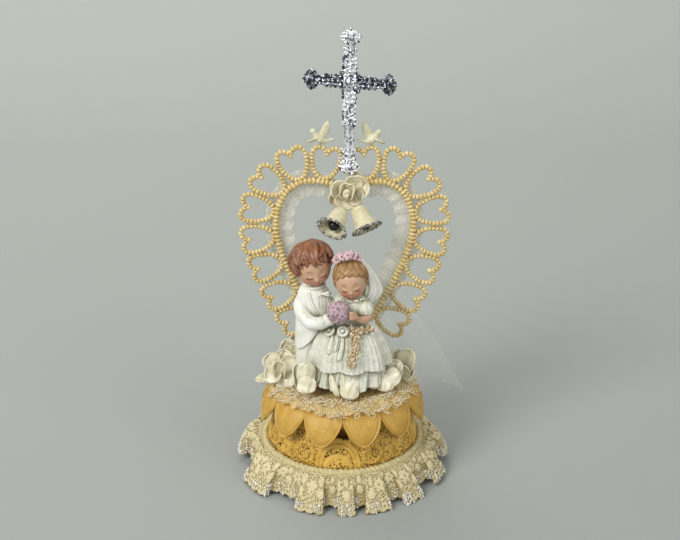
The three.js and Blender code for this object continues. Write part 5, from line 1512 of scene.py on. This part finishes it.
def bride_body():
    form = Form()
    columns = 460
    angle = around(columns)
    rings = [skirt_ring(t, angle) for t in np.linspace(0, 1, 70)]
    hem, middle = rings[-1], np.array([3.4, -13.0, 0])
    for share, lift in ((0.965, -0.5), (0.93, 0.4), (0.55, 1.2)):
        inner = mix(middle, hem, share)
        inner[:, 2] = hem[:, 2] + lift
        rings.append(inner)
    form.add(rings, lidded(len(rings), columns))
    loft(form, [(3.2, -12, 51.9, 12.0, 7.0), (3.2, -12, 62, 12.4, 7.4), (3.4, -12.5, 71, 13.5, 8)], 48, 20)
    under = np.linspace(0, 1, 30)[:, None]
    frilled = 1 + (0.02 + 0.05 * under) * np.cos(17 * angle + 2 * under) + 0.025 * np.cos(41 * angle + 3 * under)
    frilled = mix(0.92, 1.0, under) * frilled
    level = 70 - 12.5 * under + 0.8 * under * np.cos(8 * angle + 1)
    form.add(polar(20.4 * frilled, angle, level, 3.4, -13.4, 14.2 * frilled), lattice(30, columns, False, True))
    loft(form, [(3.4, -13.6, 88, 9.2, 8.0), (3.7, -13.6, 92, 8.4, 7.4), (4.0, -13.4, 99, 8.9, 7.2),
                (4.2, -13, 103.5, 8.2, 6.6), (4.0, -12.8, 106.5, 5.4, 5.0), (3.6, -12.8, 109, 4, 4)], 64, 50)
    ring = around(60)
    wave = 0.5 * np.cos(11 * ring)
    frill = polar(6.0 + wave, ring, 0.5 * np.cos(11 * ring + 1), depth=5.2 + wave)
    tube(form, frill + BRIDE.centre + (0.4, -1.0, -8.6), 0.9, 8, True)
    points, faces = BALLS[16]
    ripple = 1 + 0.05 * np.cos(9 * np.arctan2(points[:, 1], points[:, 0]))
    form.add(points * (4.4, 4.2, 4.3) * ripple[:, None] + at_depth(364.5, 309, -17.5), faces)
    limb(form, through([(336, 307, -16), (333, 312, -20), (334, 317, -23)], 12), 2.6, 14)
    bride_sash(form)
    finished(form, "bride_gown", [gown_bisque])
    hands = Form()
    limb(hands, through([(368, 316.5, -18.5), (364.5, 319.6, -21), (359, 319.6, -24), (354.5, 317, -26)], 20),
         taper(20, [0, 0.4, 0.75, 1], [2.4, 2.1, 1.45, 1.8]), 16)
    for k in range(4):
        finger = [(355.5, 314.4 + 1.5 * k, -26.4), (352.2, 313.2 + 1.9 * k, -27.6), (349.6, 313.4 + 2.0 * k, -27.4)]
        limb(hands, through(finger, 10), np.linspace(0.85, 0.6, 10), 10)
    skin = skin_material("hand_skin", [at_depth(356, 318, -26)], 4.0, PALE_SKIN, (0.56, 0.30, 0.19))
    finished(fused(hands, 0.26, 1), "bride_hand", [skin])


def bride_sash(form):
    """Two loops at the waist and three ribbon ends, laid on the gown."""
    gown = form.tree()
    for u, v in ((331.6, 332.0), (343.6, 331.6)):
        middle, normal = frame_cast(gown, u, v, 1.4)
        angle = around(22)
        loop = np.stack([2.3 * np.cos(angle), 0 * angle, 2.2 * np.sin(angle)], 1) @ aim(-normal, (0, 1, 0)).T
        tube(form, middle + loop, 0.95, 10, True, up=normal)
        ball(form, middle, (1.5, 0.9, 1.5), 4)
    for stops, width in ((((333, 335), (331, 344), (329.2, 352)), 1.25),
                         (((343, 335.5), (342.4, 346), (340.2, 358.5)), 1.35),
                         (((338, 334), (337.2, 343), (335.5, 350)), 0.9)):
        path = laid(gown, stops, 0.35, 24)
        limb(form, path, width * (0.6 + 0.55 * np.linspace(0, 1, len(path))), 12, 0.6, (0.0, 1.0, 0.3))


def bouquet():
    form, centre, count = Form(), at_depth(338.6, 312.6, -25.5), 12
    golden_angle = 2.39996
    ball(form, centre, (5.5, 4.2, 5.6))
    for k in range(count):
        height, angle = 1 - 1.5 * (k + 0.5) / count, k * golden_angle
        flat = math.sqrt(max(1 - height ** 2, 0))
        way = np.array([flat * math.cos(angle), -max(height, -0.4), flat * math.sin(angle)])
        place = centre + way * (5.0, 4.6, 5.1)
        blossom(form, place, way + (0, -0.4, 0.1), 2.75 + 0.4 * math.sin(3.1 * k), k, int(k % 2 == 0))
    finished(form, "bouquet", [mauve, dark_dot])


def garland():
    """Glittered clumps along two lines on the skirt."""
    rows, columns = 40, 120
    skirt = [skirt_ring(t, around(columns)) for t in np.linspace(0, 1, rows)]
    tree = Form().add(skirt, lattice(rows, columns, False, True)).tree()
    rng = np.random.default_rng(5)
    form, specks = Form(), []
    for stops, count, width in ((((370.5, 328.6), (362, 331.2), (354, 330.4), (350, 328.4)), 16, 1.35),
                                (((355.5, 331), (355.2, 340), (353.6, 351), (351.2, 365.5)), 22, 1.5)):
        for place in laid(tree, stops, 0.9, count):
            spot = place + rng.normal(0, 0.18, 3)
            radii = width * rng.uniform(0.8, 1.1, 3) * (1.1, 0.6, 0.85)
            ball(form, spot, radii, 4, turn_of(z=rng.uniform(0, 3)))
            specks.extend(spot + rng.normal(0, 1, (34, 3)) * (1.3, 0.5, 0.9) + (0, -0.7, 0.3))
    flakes(form, specks[::3], 0.6, rng, 1)
    flakes(form, specks[1::3] + specks[2::3], 0.68, rng, 2)
    finished(form, "skirt_garland", [copper, copper_flake, gold_flake], ["bead_garland"])


for figure, figure_face in ((GROOM, "groom_face"), (BRIDE, "bride_face")):
    figure_cheeks = [figure.at(side * 31, -25) for side in (-1, 1)]
    painted_face(figure, figure_face, skin_material(figure_face + "_skin", figure_cheeks, 5.2 * figure.scale,
                                                    PALE_SKIN, (0.58, 0.22, 0.14)))
hair_rng = np.random.default_rng(21)
groom_hair(hair_rng)
bride_hair(hair_rng)
ceramic_veil()
groom_body()
bride_body()
bouquet()
garland()


# Tulle veil: each row runs from the bride's back out to the right, and sags there

def veil():
    reach_x, top, corner, depth, foot = 66.0, 119.0, 38.0, 4.6, 7.3
    rows, columns = 70, 90
    share, s = np.meshgrid(np.linspace(0, 1, rows), np.linspace(0, 1, columns), indexing="ij")
    stops = [0, 0.2, 0.4, 0.6, 0.8, 1.0]
    left, right, drop = (np.interp(share, stops, values) for values in (
        [0.06, 0.068, 0.076, 0.084, 0.092, 0.1], [0.18, 0.46, 0.583, 0.742, 0.886, 1.0],
        [0.01, 0.22, 0.4, 0.58, 0.8, 1.0]))
    folds = 0.8 * np.sin(s * 26 + 2 * share) + 0.5 * np.sin(s * 11 + 1 + 3 * share)
    y = mix(depth, foot, share) + folds * share * 0.9 - 0.3
    z = mix(mix(top, FLOOR + 4, share), mix(top, corner, drop), s ** 2.3)
    p = np.stack([mix(left, right, s) * reach_x, y, z], -1)
    cloth = finished(Form().add(p, lattice(rows, columns)), "veil", [veil_net], ["tulle_veil"])


veil()


# Room and light

FLOOR_HALF, WALL, SWEEP = 3.0, 1.0, 0.5


def backdrop():
    """A sweep: a floor that curves up into a wall, with painted light, darker on the floor and lighter towards the
    wall.
    """
    shade = Shade("backdrop_grey", Roughness=0.9)
    share = shade.spread(shade.part("Y", shade.place()), -0.1, 0.9)
    # Painted light: the tone runs from darker on the floor to lighter towards the wall.
    tones = [(0.0, (0.335, 0.352, 0.33)), (1.0, (0.50, 0.53, 0.49))]
    shade.feed(shade.shader, {"Base Color": shade.ramp(tones, share)})
    bend = [math.pi / 2 * i / 16 for i in range(1, 16)]
    profile = [(-FLOOR_HALF, 0.0), (WALL - SWEEP, 0.0)]
    profile += [(WALL - SWEEP + SWEEP * math.sin(a), SWEEP - SWEEP * math.cos(a)) for a in bend]
    profile += [(WALL, SWEEP), (WALL, FLOOR_HALF)]
    verts = [(x, y, z) for y, z in profile for x in (-FLOOR_HALF, FLOOR_HALF)]
    faces = [(a, a + 1, a + 3, a + 2) for a in range(0, 2 * len(profile) - 2, 2)]
    mesh = bpy.data.meshes.new("backdrop")
    mesh.from_pydata(verts, [], faces)
    mesh.polygons.foreach_set("use_smooth", [True] * len(faces))
    mesh.materials.append(shade.material)
    linked("backdrop", mesh)


backdrop()


def lamp(name, place, size, power):
    data = bpy.data.lights.new(name, "AREA")
    data.shape, data.size, data.energy = "DISK", size, power
    obj = linked(name, data)
    obj.location = place
    obj.rotation_euler = (Vector((0, 0, 0.1)) - Vector(place)).to_track_quat("-Z", "Y").to_euler()


lamp("key", (-0.75, -0.75, 1.0), 0.6, 12.5)
lamp("fill", (0.9, -0.8, 0.8), 0.9, 3.5)
lamp("back", (-0.3, 0.7, 1.2), 0.6, 4)

world = bpy.data.worlds.new("world")
bpy.context.scene.world = world
world.use_nodes = True
world.node_tree.nodes["Background"].inputs["Color"].default_value = (1, 1, 1, 1)
world.node_tree.nodes["Background"].inputs["Strength"].default_value = 0.55
bpy.context.scene.view_settings.view_transform = "Standard"
